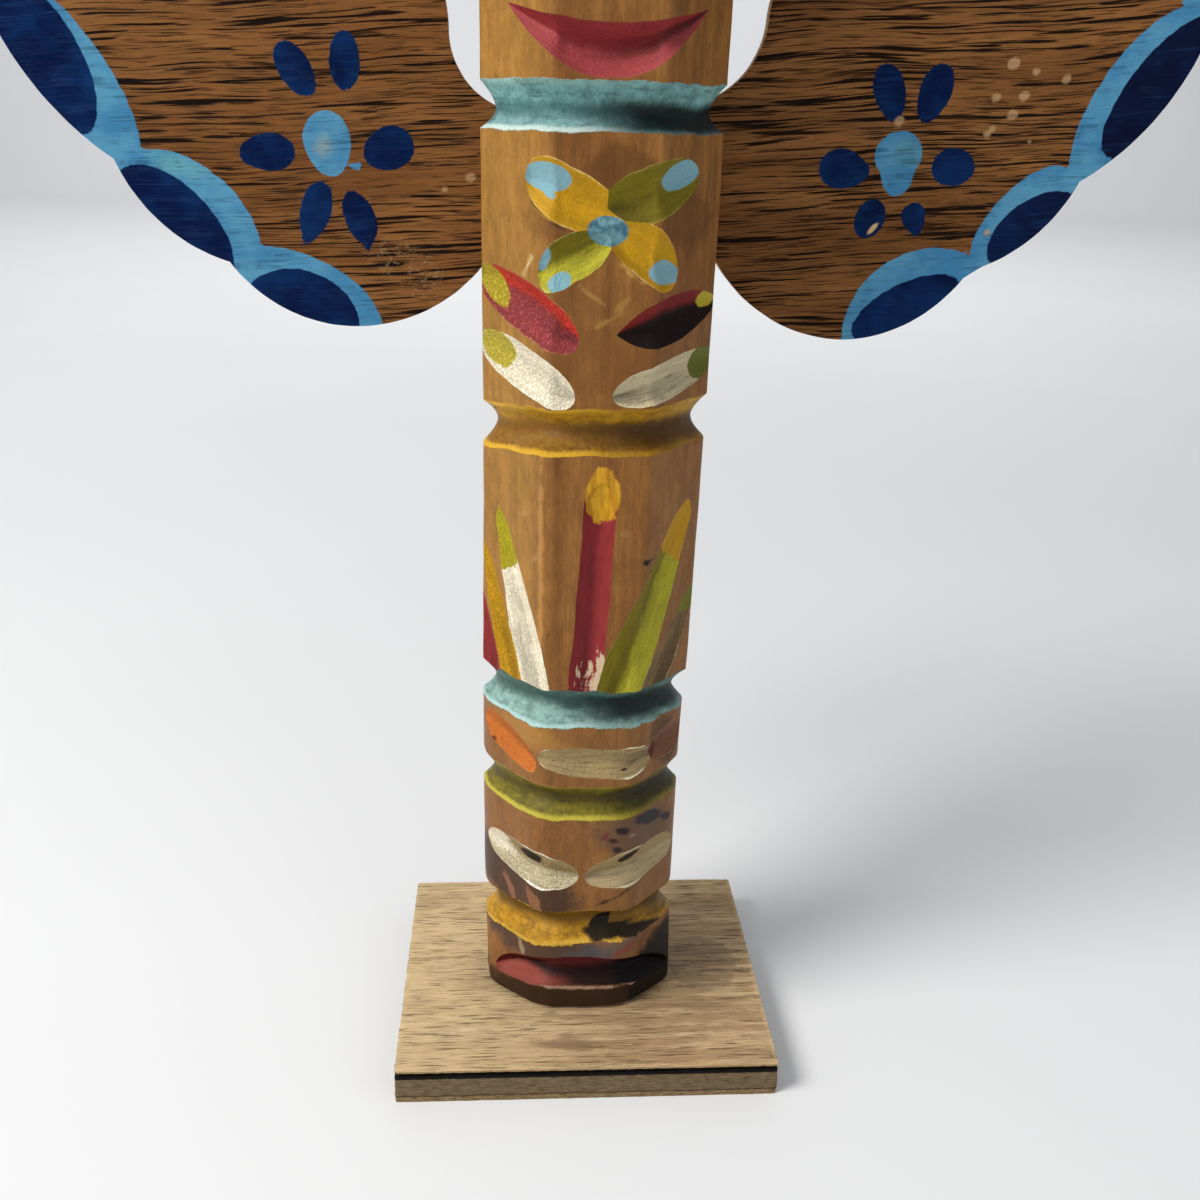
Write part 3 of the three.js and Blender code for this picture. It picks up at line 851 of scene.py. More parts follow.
def map_post(post, at, height):
    """The work map: how far round, and the height before any tilt."""
    layer = post.data.uv_layers.get("UVMap") or post.data.uv_layers.new()
    layer.name = "work"
    corners = np.empty(len(post.data.loops), int)
    post.data.loops.foreach_get("vertex_index", corners)
    layer.data.foreach_set("uv", np.stack([at[corners], height[corners]], axis=1).ravel())


post_round, post_height = shape_post(post)
map_post(post, post_round, post_height)
for finish in [post_finish, *groove_finishes]:
    post.data.materials.append(finish)
for face in post.data.polygons:
    level = sum(post_height[v] for v in face.vertices) / len(face.vertices)
    for slot, g in enumerate(GROOVES, start=1):
        if len(face.vertices) == 4 and abs(level - g["front"]) < g["width"] / 2 + LIP_SPILL:
            face.material_index = slot
print("post shaped, widest", round(float(np.ptp(places(post.data)[:, 0])), 1), "mm")

# %% [markdown]
# ## Brushed cuts
# Every cut is painted along its length, often with a second colour at the outer tip. One group
# holds what they share: two wall colours, for most cuts a lit and a shaded copy of one paint as
# painted light and shade, a tip, streaks of old dirt in the grain, worn specks, a pale rim, and
# painted shade in the walls that face away from the light. Each cut carries its own map: how far
# along it a place lies, from 0 to 1, and how far across, from -1 at the lower rim to 1 at the upper one.

# %% The cut paint group


def build_cut_paint():
    r = Group("cut_paint", Place=ORIGIN, Stroke=ORIGIN, Length=20.0, Width=8.0, Valley=0.0,
              Upper="ffffff", Lower="ffffff", Tip="ffffff", Tip_End=-9.0, Tip_Slant=0.0, Streaks=0.2,
              Wear=0.1, Worn="a98755", Rim=0.5, Rim_Color="d9c49a", Grime=0.3, Grime_From=0.0,
              Grime_To=1.0, Grime_Middle=0.0, Grime_Reach=0.5, Pits=0.1)
    i, place = r.i, r.i.Place
    along, across, _ = r.split(i.Stroke)
    run = along * i.Length
    stroke = r.add("CombineXYZ", {0: run, 1: across * (i.Width * 0.5)})
    lumps, crumbs = r.lumps(place, 0.3), r.lumps(place, 1.3, 2)

    wall = across + lumps * 0.5
    # Two wall colours: for most cuts a lit and a shaded copy of one paint, painted light and shade.
    colour = r.mix(r.step(wall - i.Valley, -0.12, 0.22), i.Lower, i.Upper)
    cloud = r.noise(stroke, (0.12, 0.45, 1), 3, 0.6)
    colour = r.shade(colour, r.step(cloud, 0.3, 0.7, 0.86, 1.1))
    until = i.Tip_End + across * i.Tip_Slant + lumps * 3.0 + crumbs
    colour = r.tint(colour, i.Tip, until - run, -0.25, 0.25)

    lines = r.noise(stroke, (0.14, 2.3, 1), 3, 0.65)
    colour = r.tint(colour, "4a3820", lines, 0.5, 0.7, i.Streaks)
    dots = r.noise(stroke, (0.9, 2.0, 1), 2, 0.6)
    colour = r.tint(colour, "2b2013", dots, 0.66, 0.74, i.Pits + i.Streaks)
    bald = r.noise(stroke, (0.45, 1.0, 1), 4, 0.65) + i.Wear * 0.3
    colour = r.tint(colour, i.Worn, bald, 0.7, 0.78, r.sum("MINIMUM", i.Wear * 3.0, 1.0))

    edge = abs(across) + lumps * 0.16 + crumbs * 0.1
    colour = r.tint(colour, i.Rim_Color, edge, 0.86, 0.94, i.Rim)
    # Painted shade: a near-black band along part of the cut, in the wall that faces away from the light.
    shade = r.step(along, i.Grime_From, i.Grime_To) * i.Grime
    spread = abs(wall - i.Grime_Middle)
    colour = r.tint(colour, "120a08", spread, i.Grime_Reach, i.Grime_Reach * 0.45, shade)
    pitted = r.step(r.noise(place, 1.5, 3, 0.65), 0.42, 0.6) * i.Pits * 3.0
    return r.give(Color=colour, Roughness=lines * 0.2 + 0.42, Height=lines * 0.5 + cloud * 0.3 - pitted)


CUT_PAINT = build_cut_paint()
print("cut paint:", len(CUT_PAINT.nodes), "nodes")

# %% [markdown]
# ## The cuts
# The blade's paths are the same as in the solid: petals round at both ends, pointed leaves, and
# rays and a channel that run out wide. Each cutter starts as a grid, is laid on the wood's
# surface and sunk into a V, and is extruded out of the wood, so that it is closed. A Boolean
# takes it from the post, and the walls keep the cutter's own paint and map.

# %% The list of cuts
PALETTE = dict(
    cream="f3e8cc", brown="a58d62", tan="b39f78", yellow="bd8d12", linen="cbbd98", olive="7c6e12",
    lime="aea62a", sky="7ca9b6", red="8e2c2e", bright_red="cc3a2c", rose="9c4042", mouth_red="8e4034",
    dark_red="5e1a1c", wine_red="7c201e", deep_red="7c2226", walnut="856a48", orange="c06c2a",
    pink="7c5038", black="16100e", leaf="b6a52c",
)


def carve(form, start, end, bow, width, depth, upper, lower=None, dabs=(), extra=None, valley=0.0, **more):
    """The path of one cut and its paint, with colours by name."""
    coat = dict(Upper=PALETTE[upper], Lower=PALETTE[lower or upper], **more)
    return SimpleNamespace(form=form, start=start, end=end, bow=bow, width=width, depth=depth,
                           dabs=dabs, extra=extra, valley=valley, coat=coat)


# Each cut: form, outer and inner end, bow, width, depth, the colours of its walls, which are for
# most cuts a lit and a shaded copy of one paint as painted light and shade, and its paint.
# A dab on it: middle, half length, half width, angle, colour, and maybe wobble and softness.
CUTS = dict(
    mouth=carve("bud", (-19.7, 6.1), (20.2, 4.8), 4.6, 8.0, 4.6, "dark_red", "mouth_red", Grime=0.0,
        Rim=0.5, Rim_Color="7a3c30", Pits=0.02, Streaks=0.0, Wear=0.0,
        # The mouth's dabs: a darker red band, then near-black painted shadow under the upper lip and over
        # the right part, away from the light.
        dabs=[((0.0, 10.6), 22.0, 2.2, -2, "6c2421", 0.3, 1.2),
        ((10.0, 6.9), 16.0, 2.6, -1, "0b0605", 0.25, 0.9),
        ((-5.0, 8.2), 13.0, 0.8, -2, "1c0b0a", 0.25, 0.7),
        ((17.0, 7.0), 11.0, 5.4, -6, "0b0605", 0.3, 1.2)]),
    eye_left=carve("petal", (-22.6, 36.6), (-1.8, 34.2), -0.3, 9.0, 1.5, "brown", "linen", Streaks=0.4,
        Wear=0.2, Worn="857042", Rim=1.0, Rim_Color="fbf3dc", Grime=0.2, Grime_Middle=0.1, Pits=0.35,
        dabs=[((-19.4, 37.4), 4.2, 2.4, -35, "efe4c8", 1.0, 0.6),
        ((-11.8, 37.3), 2.3, 1.3, -12, "black")]),
    eye_right=carve("petal", (21.0, 34.0), (-0.8, 33.8), 1.2, 9.0, 1.5, "brown", "tan", Streaks=0.5,
        Wear=0.2, Worn="8d7444", Rim=0.8, Rim_Color="ddd3b0", Grime=0.25, Pits=0.1,
        dabs=[((8.7, 37.6), 2.3, 0.95, 14, "black")]),
    orange_chip=carve("petal", (-24.0, 65.8), (-11.0, 59.6), 0, 7.2, 1.5, "orange", Streaks=0.15,
        Wear=0.04, Rim=0.6, Rim_Color="d08a4c", Pits=0.2, Grime=0.25, Grime_Middle=0.5,
        dabs=[((-20.0, 60.5), 0.7, 0.45, 30, "6a3010")]),
    cream_chip=carve("petal", (-10.8, 61.8), (14.0, 60.6), -0.6, 8.0, 1.1, "brown", Streaks=0.6,
        Wear=0.3, Worn="7d5f36", Rim=1.0, Rim_Color="ece2c4", Pits=0.15, Grime=0.45, Grime_From=0.5,
        Grime_Middle=0.2, dabs=[((6.7, 58.9), 0.8, 0.35, 0, "2a1a10")]),
    pink_chip=carve("petal", (23.6, 61.4), (12.0, 61.0), 0, 8.0, 1.5, "pink", Streaks=0.4, Wear=0.12,
        Worn="6a4028", Rim=0.4, Pits=0.1, Grime=0.3, dabs=[((12.9, 61.0), 0.7, 1.8, 0, "5c1f18")]),
    red_patch=carve("ray", (-23.2, 96.0), (-20.0, 74.0), 0, 4.4, 1.5, "red", Streaks=0.3, Rim=0.2,
        Wear=0.08),
    yellow_ray=carve("ray", (-21.8, 104.0), (-15.6, 74.0), 0, 4.6, 1.3, "yellow", Streaks=0.15, Rim=0.6,
        Wear=0.05, Rim_Color="5a3a14", Pits=0.3),
    white_ray=carve("ray", (-18.9, 112.2), (-10.9, 74.0), 0, 6.4, 1.6, "cream", Tip="ad9f1c",
        Tip_End=12.0, Tip_Slant=-1.5, Streaks=0.3, Wear=0.12, Rim=0.9, Rim_Color="f7f1de", Pits=0.25,
        Grime=0.4, Grime_Middle=-0.35),
    red_ray=carve("channel", (0.8, 120.0), (-1.8, 74.0), 0, 7.6, 1.2, "red", "deep_red", Streaks=0.25,
        Wear=0.06, Worn="c9b394", Rim=0.1, Pits=0.03, extra="worn_end"),
    green_ray=carve("ray", (18.4, 113.8), (3.9, 74.0), 0, 10.4, 1.9, "lime", "olive", Tip="c08f1e",
        Tip_End=11.0, Tip_Slant=3.0, Streaks=0.35, Wear=0.05, Rim=0.5, Rim_Color="a9ad52", Pits=0.15),
    brown_ray=carve("ray", (21.4, 95.4), (11.4, 74.0), 0, 6.2, 1.6, "walnut", Tip="7f7a30", Tip_End=7.0,
        Streaks=0.6, Wear=0.2, Worn="5a3f26", Rim=1.0, Rim_Color="ded3ac", Grime=0.45, Grime_Middle=0.7,
        Pits=0.2),
    petal_yellow_high=carve("bud", (-14.0, 172.9), (4.2, 165.4), 0, 10.8, 2.3, "yellow", Streaks=0.15,
        Wear=0.05, Rim=0.85, Rim_Color="e6c27a", Pits=0.08, Grime=0.25, Grime_Middle=-0.75,
        Grime_Reach=0.4, extra="flower_middle", dabs=[((-10.2, 172.9), 4.1, 2.4, -10, "sky", 0.3, 0.15),
        ((-10.0, 170.7), 1.4, 0.8, -50, "sky", 0.5, 0.15)]),
    petal_green_high=carve("petal", (17.0, 173.6), (-1.6, 167.4), 0, 10.0, 2.3, "olive", Streaks=0.25,
        Wear=0.05, Rim=0.7, Rim_Color="b5a452", Grime=0.6, Grime_Middle=-0.5, Grime_Reach=0.7,
        extra="flower_middle", dabs=[((13.2, 173.6), 3.9, 2.2, 26, "sky", 0.25, 0.15)]),
    petal_green_low=carve("bud", (-11.8, 156.8), (1.4, 163.0), 0, 9.2, 2.1, "olive", "lime", Streaks=0.4,
        Wear=0.12, Rim=0.7, Rim_Color="d0c87c", Pits=0.15, extra="flower_middle", valley=0.1,
        dabs=[((-10.7, 159.4), 2.2, 1.2, 80, "sky"), ((-7.9, 155.5), 2.2, 1.6, 35, "sky")]),
    petal_yellow_low=carve("bud", (13.5, 157.2), (-1.0, 166.2), 0, 10.2, 2.1, "yellow", Streaks=0.12,
        Wear=0.06, Rim=0.85, Rim_Color="e2be80", Pits=0.08, Grime=0.3, Grime_Middle=-0.8,
        Grime_Reach=0.4, extra="flower_middle", dabs=[((10.8, 157.3), 2.9, 2.0, -12, "sky")]),
    red_left=carve("petal", (-22.6, 154.8), (-4.2, 145.4), 0, 9.4, 2.6, "bright_red", "rose",
        Streaks=0.2, Wear=0.06, Rim=0.6, Rim_Color="c08a58", Pits=0.4, Grime=0.35, valley=0.2,
        dabs=[((-19.4, 153.6), 4.4, 2.1, -58, "leaf")]),
    # Its lower wall is almost all near-black painted shade, away from the light.
    red_right=carve("leaf", (23.2, 151.4), (2.0, 146.6), 0, 9.0, 2.6, "wine_red", "dark_red",
        Streaks=0.05, Wear=0.02, Rim=0.9, Rim_Color="6e1b1a", Grime=0.97, Grime_To=0.02,
        Grime_Middle=-0.45, Grime_Reach=1.0, dabs=[((20.2, 152.2), 2.6, 1.6, 40, "leaf")]),
    white_left=carve("petal", (-22.6, 143.2), (-4.6, 135.2), 0, 8.8, 1.7, "cream", Streaks=0.15,
        Wear=0.16, Worn="c09a78", Rim=0.9, Rim_Color="fbf6e6", Pits=0.35,
        dabs=[((-18.6, 142.2), 3.9, 2.7, -50, "leaf")]),
    white_right=carve("petal", (23.4, 140.8), (1.8, 135.6), 0, 7.8, 1.7, "linen", Streaks=0.55, Wear=0.1,
        Worn="8d7a50", Rim=0.85, Rim_Color="ddd4b6", Pits=0.12, Grime=0.55, Grime_Middle=-0.35,
        dabs=[((19.6, 140.2), 3.4, 2.7, 65, "5f6418")]),
    smile_high=carve("leaf", (-17.5, 200.5), (17.5, 200.5), -7.6, 9.0, 3.4, "red", "rose", Streaks=0.1,
        Wear=0.03, Rim=0.3, Rim_Color="8a5a32", Grime=0.7, Grime_From=0.3, Grime_Middle=0.1,
        Grime_Reach=0.5),
    eye_high_left=carve("petal", (-22.8, 221.5), (-1.4, 213.0), -0.6, 8.0, 1.6, "tan", "cream",
        Streaks=0.3, Wear=0.12, Rim=0.9, Rim_Color="f0e9d2", Pits=0.2,
        dabs=[((-10.2, 219.2), 2.2, 1.2, -18, "black")]),
    eye_high_right=carve("petal", (22.8, 221.5), (1.4, 213.0), -0.6, 8.0, 1.6, "brown", "tan",
        Streaks=0.4, Wear=0.14, Rim=0.8, Rim_Color="ddd3b0", Pits=0.15,
        dabs=[((10.2, 219.2), 2.2, 1.2, 18, "black")]),
)
print("cuts:", ", ".join(CUTS))

# %% Lay out a cutter
CUT_BLUNTNESS = 1.3
CUT_BOW_FULLNESS = 2.2
EDGE_TURN = 3.0
CUT_RIM = 0.05
CUT_LIFT = 7.0
CUT_ROWS, CUT_COLUMNS = 48, 14
RIM_WOBBLE = 0.22
WALL_MARKS = 0.1


def front_surface(x, height):
    """The front of the post and its outward normal; past a side the bevel runs on."""
    flat = FLAT_HALF_WIDTH * half_width(height) / SIDE_HALF_WIDTH
    side_front = SIDE_FRONT_Y - foot_fullness(height)
    slope = (side_front - FRONT_Y) / (half_width(height) - flat)
    reach = edge_rounding(height)
    across = x - bow_at(height)
    past = abs(across) - flat
    if past < -reach:
        y = FRONT_Y
    elif past > reach:
        y = FRONT_Y + slope * past
    else:
        y = FRONT_Y + slope * (past + reach) ** 2 / (4 * reach)
    turn = smoothstep(abs(across), flat - EDGE_TURN, flat + EDGE_TURN)
    normal = Vector((math.copysign(slope * turn, across), -1, 0)).normalized()
    return Vector((x, y, FLOOR_OF_HEIGHTS + height)), normal


def fullness(form, s):
    """Width and depth of a cut along its length, as a share of the fullest."""
    if form == "petal":
        return math.sqrt(max(0, 1 - abs(2 * s - 1) ** 2.6))
    if form == "bud":
        return math.sqrt(max(0, 1 - abs(2 * s - 1) ** 3.4)) * (1.05 - 0.25 * s)
    if form == "leaf":
        return 1 - abs(2 * s - 1) ** 2.2
    if form == "ray":
        return math.sqrt(min(1, 10 * s)) * min(1, 0.4 + 0.85 * s)
    return math.sqrt(min(1, 12 * s)) * (0.92 + 0.08 * s)


def blade_point(cut, s, v, seed):
    """A point of the blade's path at a share along it and across it."""
    (x0, h0), (x1, h1) = cut.start, cut.end
    run, rise = x1 - x0, h1 - h0
    steep = abs(rise) > abs(run)
    reach = cut.width / 2 * math.hypot(run, rise) / max(abs(run), abs(rise))
    full = max(0.02, fullness(cut.form, s))
    x = x0 + run * s
    height = h0 + rise * s + cut.bow * (1 - abs(2 * s - 1) ** CUT_BOW_FULLNESS)
    side = 1 if v > 0 else -1
    slack = 1 + RIM_WOBBLE * 2 / cut.width * noise.noise(Vector((s * 9, side * 3, seed)))
    off = v * full * reach * slack
    where, normal = front_surface(x + off, height) if steep else front_surface(x, height + off)
    wall = abs(v - cut.valley) / (1 - cut.valley if v > cut.valley else 1 + cut.valley)
    marks = WALL_MARKS * (1 - wall**4)
    texture = marks * (rough(where, 0.9, seed) + 0.7 * noise.noise(Vector((s * 3, v * 6, seed))))
    sunk = full * cut.depth * (1 - wall**CUT_BLUNTNESS) - CUT_RIM + full * texture
    return where - normal * sunk


def make_cutter(name, cut, seed):
    grid = dict(x_subdivisions=CUT_ROWS, y_subdivisions=CUT_COLUMNS, size=2)
    cutter = new_piece("cutter_" + name, bpy.ops.mesh.primitive_grid_add, **grid)
    layer = cutter.data.uv_layers.active
    layer.name = "work"
    shares = [((v.co.x + 1) / 2, v.co.y) for v in cutter.data.vertices]
    for corner in cutter.data.loops:
        layer.data[corner.index].uv = shares[corner.vertex_index]
    put(cutter.data, [blade_point(cut, s, v, seed) for s, v in shares])
    thicken(-CUT_LIFT * MM)
    return cutter


# %% Paint and take away each cut


def worn_end(r, stroke, place, colour):
    """The red ray's foot, where the paint has flaked down to pale wood on the right."""
    along, across, _ = r.split(stroke)
    reach = r.step(along, 0.62, 0.86) + across * 0.5
    flakes = r.noise(place, (0.9, 0.9, 0.3), 4, 0.7)
    return r.tint(colour, "cdb998", reach * 0.33 + flakes, 0.82, 0.9, 0.85)


def cut_finish(name, cut):
    r = Finish("cut_" + name)
    place = r.place()
    stroke = r.add("UVMap", {}, uv_map="work")
    sizes = dict(Length=math.dist(cut.start, cut.end), Width=cut.width, Valley=cut.valley)
    painted = r.use(CUT_PAINT, Place=place, Stroke=stroke, **sizes, **cut.coat)
    colour = painted.Color
    for middle, length, width, angle, code, *edge in cut.dabs:
        wobble, softness = edge or (0.45, 0.15)
        spot = dab(r, place, middle, length, width, angle, Wobble=wobble, Softness=softness)
        colour = r.mix(spot * 0.96, colour, PALETTE.get(code, code))
    if cut.extra == "worn_end":
        colour = yellow_oval(r, place, worn_end(r, stroke, place, colour))
    if cut.extra == "flower_middle":
        colour = flower_middle(r, place, colour)
    return r.done(colour, painted.Roughness, painted.Height, 0.2, 0.15)


for seed, (name, cut) in enumerate(CUTS.items()):
    cutter = make_cutter(name, cut, seed * 7.3)
    cutter.data.materials.append(cut_finish(name, cut))
    cut_with(post, cutter, operation="DIFFERENCE", material_mode="TRANSFER")
print("post after", len(CUTS), "cuts:", len(post.data.polygons), "faces")

# %% [markdown]
# ## Crisp rims
# A blade leaves a crisp rim where a cut meets the surface, and smooth walls inside. So the post
# is shaded smooth, and the edges between two finishes are marked sharp, apart from those
# between plain wood and a groove's coat, which lie on the same surface.

# %% Shade the post


def shade_post(post):
    smooth_under(post, 38)
    skin = {i for i, m in enumerate(post.data.materials) if not m.name.startswith("cut_")}
    mesh = bmesh.new()
    mesh.from_mesh(post.data)
    for edge in mesh.edges:
        faces = {face.material_index for face in edge.link_faces}
        if len(faces) > 1 and not faces <= skin:
            edge.smooth = False
    mesh.to_mesh(post.data)
    open_edges = sum(1 for edge in mesh.edges if len(edge.link_faces) != 2)
    triangles = sum(len(face.verts) - 2 for face in mesh.faces)
    mesh.free()
    return open_edges, triangles


print("open edges and triangles of the post:", shade_post(post))
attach(post, "root")
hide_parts("pole")

# %% [markdown]
# ## The wing board
# The board is thin dark wood with open pores that run across both wings. Its outline is a row
# of arcs, lobe after lobe, drawn as a ring of points, filled, and extruded to the board's
# thickness. A fret saw could have cut it like this; the edge is left raw.

# %% Draw the board
# Each wing: where the next arc ends, and how far it bulges outwards on the way there.
ARC_STEP = 0.9
GRID_STEP = 1.1
GRID_OVER = 1.05
PRISM_OVER = 1.0
EDGE_MARKS, HIDDEN_MARKS, HIDDEN_HALF_WIDTH = 0.12, 0.02, 22
WING_MIDDLE = (62, 188)
NECK_RISE = -3.0
LEFT_WING = [
    (-16.2, 165.0, None), (-46.5, 142.4, 5.9), (-70.9, 154.3, 3.4), (-90.9, 172.7, 3.2),
    (-112.5, 204.0, 3.6), (-108.5, 231.0, 7.4), (-47.0, 218.5, 3.2), (-28.0, 198.0, 5.2),
    (-14.0, 183.0, -4.4),
]
RIGHT_WING = [
    (20.4, 165.0, None), (51.3, 141.4, 6.6), (74.7, 154.1, 3.1), (78.3, 156.5, 0.0),
    (95.7, 173.2, 2.4), (117.6, 204.5, 4.0), (112.0, 232.0, 7.4), (50.0, 219.0, 3.2),
    (31.4, 200.0, 5.2), (15.0, 185.1, -4.3),
]


def arc(start, end, rise):
    """Points from just after the start up to the end. The arc bulges to its left by the rise."""
    start, end = Vector(start), Vector(end)
    chord = end - start
    if rise == 0:
        count = max(1, round(chord.length / ARC_STEP))
        return [start + chord * (k / count) for k in range(1, count + 1)]
    radius = (chord.length**2 / 4 + rise**2) / (2 * rise)
    left = Vector((-chord.y, chord.x)).normalized()
    centre = (start + end) / 2 + left * (rise - radius)
    sweep = -4 * math.atan(2 * rise / chord.length)
    count = max(2, round(abs(sweep * radius) / ARC_STEP))
    turns = [Matrix.Rotation(sweep * k / count, 2) for k in range(1, count + 1)]
    return [centre + turn @ (start - centre) for turn in turns]


def wing_points(wing, side):
    points = [Vector(wing[0][:2])]
    for before, after in zip(wing, wing[1:]):
        points += arc(before[:2], after[:2], -side * after[2])
    return points


def board_outline():
    neck = arc(LEFT_WING[0][:2], RIGHT_WING[0][:2], -NECK_RISE)[:-1]
    return wing_points(RIGHT_WING, 1) + wing_points(LEFT_WING, -1)[::-1] + neck


def saw_out(points):
    """A closed prism through the board, with the wings' outline."""
    ring = dict(vertices=len(points), radius=0.1, fill_type="NOTHING")
    prism = new_piece("prism", bpy.ops.mesh.primitive_circle_add, **ring)
    front = BOARD_LOW.y / MM - PRISM_OVER
    ragged = []
    for p in points:
        marks = EDGE_MARKS * (0.5 + 0.5 * rough((p.x, 0, p.y), 2.2))
        off = marks if abs(p.x) > HIDDEN_HALF_WIDTH else HIDDEN_MARKS
        middle = Vector((math.copysign(WING_MIDDLE[0], p.x), WING_MIDDLE[1]))
        moved = p + (middle - p).normalized() * off
        ragged.append((moved.x, front, FLOOR_OF_HEIGHTS + moved.y))
    put(prism.data, ragged)
    thicken(BOARD_HIGH.y - BOARD_LOW.y + 2 * PRISM_OVER * MM, fill=True)
    return prism


def draw_board():
    """A finely divided slab, kept only inside the outline."""
    size = BOARD_HIGH - BOARD_LOW
    middle = (BOARD_HIGH + BOARD_LOW) / 2
    middle.y = BOARD_LOW.y
    across, up = round(size.x / MM / GRID_STEP), round(size.z / MM / GRID_STEP)
    grid = dict(x_subdivisions=across, y_subdivisions=up, size=1)
    grid.update(location=middle, rotation=(math.pi / 2, 0, 0))
    board = new_piece("wing_board", bpy.ops.mesh.primitive_grid_add, **grid)
    board.scale = (size.x * GRID_OVER, size.z * GRID_OVER, 1)
    bpy.ops.object.transform_apply(location=True, rotation=True, scale=True)
    thicken(size.y)
    cut_with(board, saw_out(board_outline()), operation="INTERSECT")
    smooth_under(board, 30)
    return board


board = draw_board()
print("board:", len(board.data.polygons), "faces", [round(v / MM, 1) for v in board.dimensions])

# %% [markdown]
# ## Painted wings
# Along the lower rim of each wing lie four scallops: a light blue lobe with a navy one on it.
# Inside each wing there is a flower with a light blue middle and navy petals. All of them are
# dabs of one round brush. The wood's long dark pores break through the thin paint.

# %% The dabs on the wings
# Each dab: middle, half length, half width, angle and how much it widens towards one end.
LIGHT_LOBES = [
    ((-57.2, 147.4), 16.1, 8.5, -23.7), ((-78.5, 161.5), 15.7, 10.8, -41.1),
    ((-98.7, 188.3), 19.6, 7.6, -55.0), ((-109.0, 218.0), 17.0, 7.4, 81.0),
    ((68.0, 143.5), 17.3, 16.3, 26.5), ((84.8, 165.8), 12.5, 6.0, 49.5),
    ((105.4, 187.8), 19.4, 9.2, 60.7), ((113.0, 219.0), 17.0, 7.6, 101.0),
]
NAVY_LOBES = [
    ((-58.4, 143.1), 12.0, 10.1, -11.0), ((-81.0, 160.2), 13.8, 8.1, -48.7),
    ((-100.9, 189.7), 13.9, 6.4, -66.5), ((-111.5, 219.0), 13.0, 5.6, 81.0),
    ((63.7, 147.9), 11.9, 5.2, 26.1), ((87.5, 163.8), 10.0, 5.8, 37.0),
    ((109.4, 190.7), 15.8, 6.7, 54.3), ((115.6, 219.5), 13.4, 5.8, 101.0),
]
NAVY_PETALS = [
    ((-62.4, 174.7), 5.2, 3.4, 4, 0.12), ((-39.7, 175.9), 4.9, 3.9, 20, 0.1),
    ((-56.4, 189.4), 5.4, 3.0, 122, 0.0), ((-47.2, 191.0), 5.2, 2.85, 88, 0.0),
    ((-54.0, 164.2), 5.7, 2.9, 72, 0.1), ((-45.6, 163.4), 5.2, 2.9, 112, -0.1),
    ((48.3, 174.4), 5.1, 3.6, 174, 0.18), ((69.8, 175.3), 4.3, 3.6, 0, 0.0),
    ((55.8, 188.4), 5.4, 3.0, 109, 0.15), ((64.5, 188.5), 5.5, 3.1, 74, 0.15),
    ((54.3, 165.3), 3.9, 3.0, 70, 0.0), ((63.2, 165.3), 3.3, 2.3, 108, 0.35),
    ((-56.2, 158.7), 1.9, 0.6, 82, 0.0), ((-44.6, 158.6), 1.9, 0.9, 108, 0.0),
]
SKY_DABS = [
    ((-51.0, 176.4), 5.9, 4.4, 98, 0.15), ((-45.7, 172.5), 0.95, 0.95, 0, 0.0),
    ((58.7, 177.3), 4.8, 4.3, 20, 0.0), ((58.9, 173.6), 4.0, 3.3, 92, 0.1),
]
# Each haze: middle, half length, half width, angle, colour and strength.
GREEN_HAZES = [
    ((-51.6, 176.0), 1.7, 1.5, 90, "8c9a90", 0.6), ((60.6, 178.0), 2.7, 2.6, 0, "558a96", 0.6),
    ((-79.0, 172.0), 4.4, 1.7, -18, "66a5a8", 0.6), ((80.3, 176.4), 5.0, 1.2, 20, "4a8c9a", 0.6),
]
# Each speck: middle and size.
GLUE_SPECKS = [
    ((76.6, 188.1), 0.9), ((82.1, 188.6), 1.0), ((80.3, 185.2), 1.0), ((75.9, 181.6), 0.8),
    ((76.7, 182.4), 0.7), ((84.3, 180.4), 0.5), ((89.9, 191.8), 0.9), ((79.2, 194.3), 1.2),
    ((83.8, 192.9), 0.8), ((78.3, 163.1), 0.6), ((58.2, 183.4), 1.0), ((-29.2, 168.8), 0.5),
    ((-24.2, 171.0), 1.0),
]
FARTHEST = -9.0


def depth_in_dabs(board, rows):
    """How deep each vertex lies inside the nearest dab, in millimetres; outside it is negative."""
    points = places(board.data)
    x, z = points[:, 0], points[:, 2] - FLOOR_OF_HEIGHTS
    deepest = np.full(len(points), FARTHEST)
    for middle, length, width, angle, *taper in rows:
        turn = math.radians(angle)
        dx, dz = x - middle[0], z - middle[1]
        share = (dx * math.cos(turn) + dz * math.sin(turn)) / length
        wide = width * np.maximum(0.2, 1 + share * (taper[0] if taper else 0.0))
        off = (dz * math.cos(turn) - dx * math.sin(turn)) / wide
        deepest = np.maximum(deepest, (1 - np.hypot(share, off)) * min(width, length))
    return deepest


def keep_depths(board):
    for name, rows in (("light", LIGHT_LOBES + SKY_DABS), ("navy", NAVY_LOBES + NAVY_PETALS)):
        layer = board.data.attributes.new(name, "FLOAT", "POINT")
        layer.data.foreach_set("value", depth_in_dabs(board, rows))


keep_depths(board)
print("board attributes:", [layer.name for layer in board.data.attributes])

# %% The finishes of the board
GRAIN_TURN = math.radians(4)


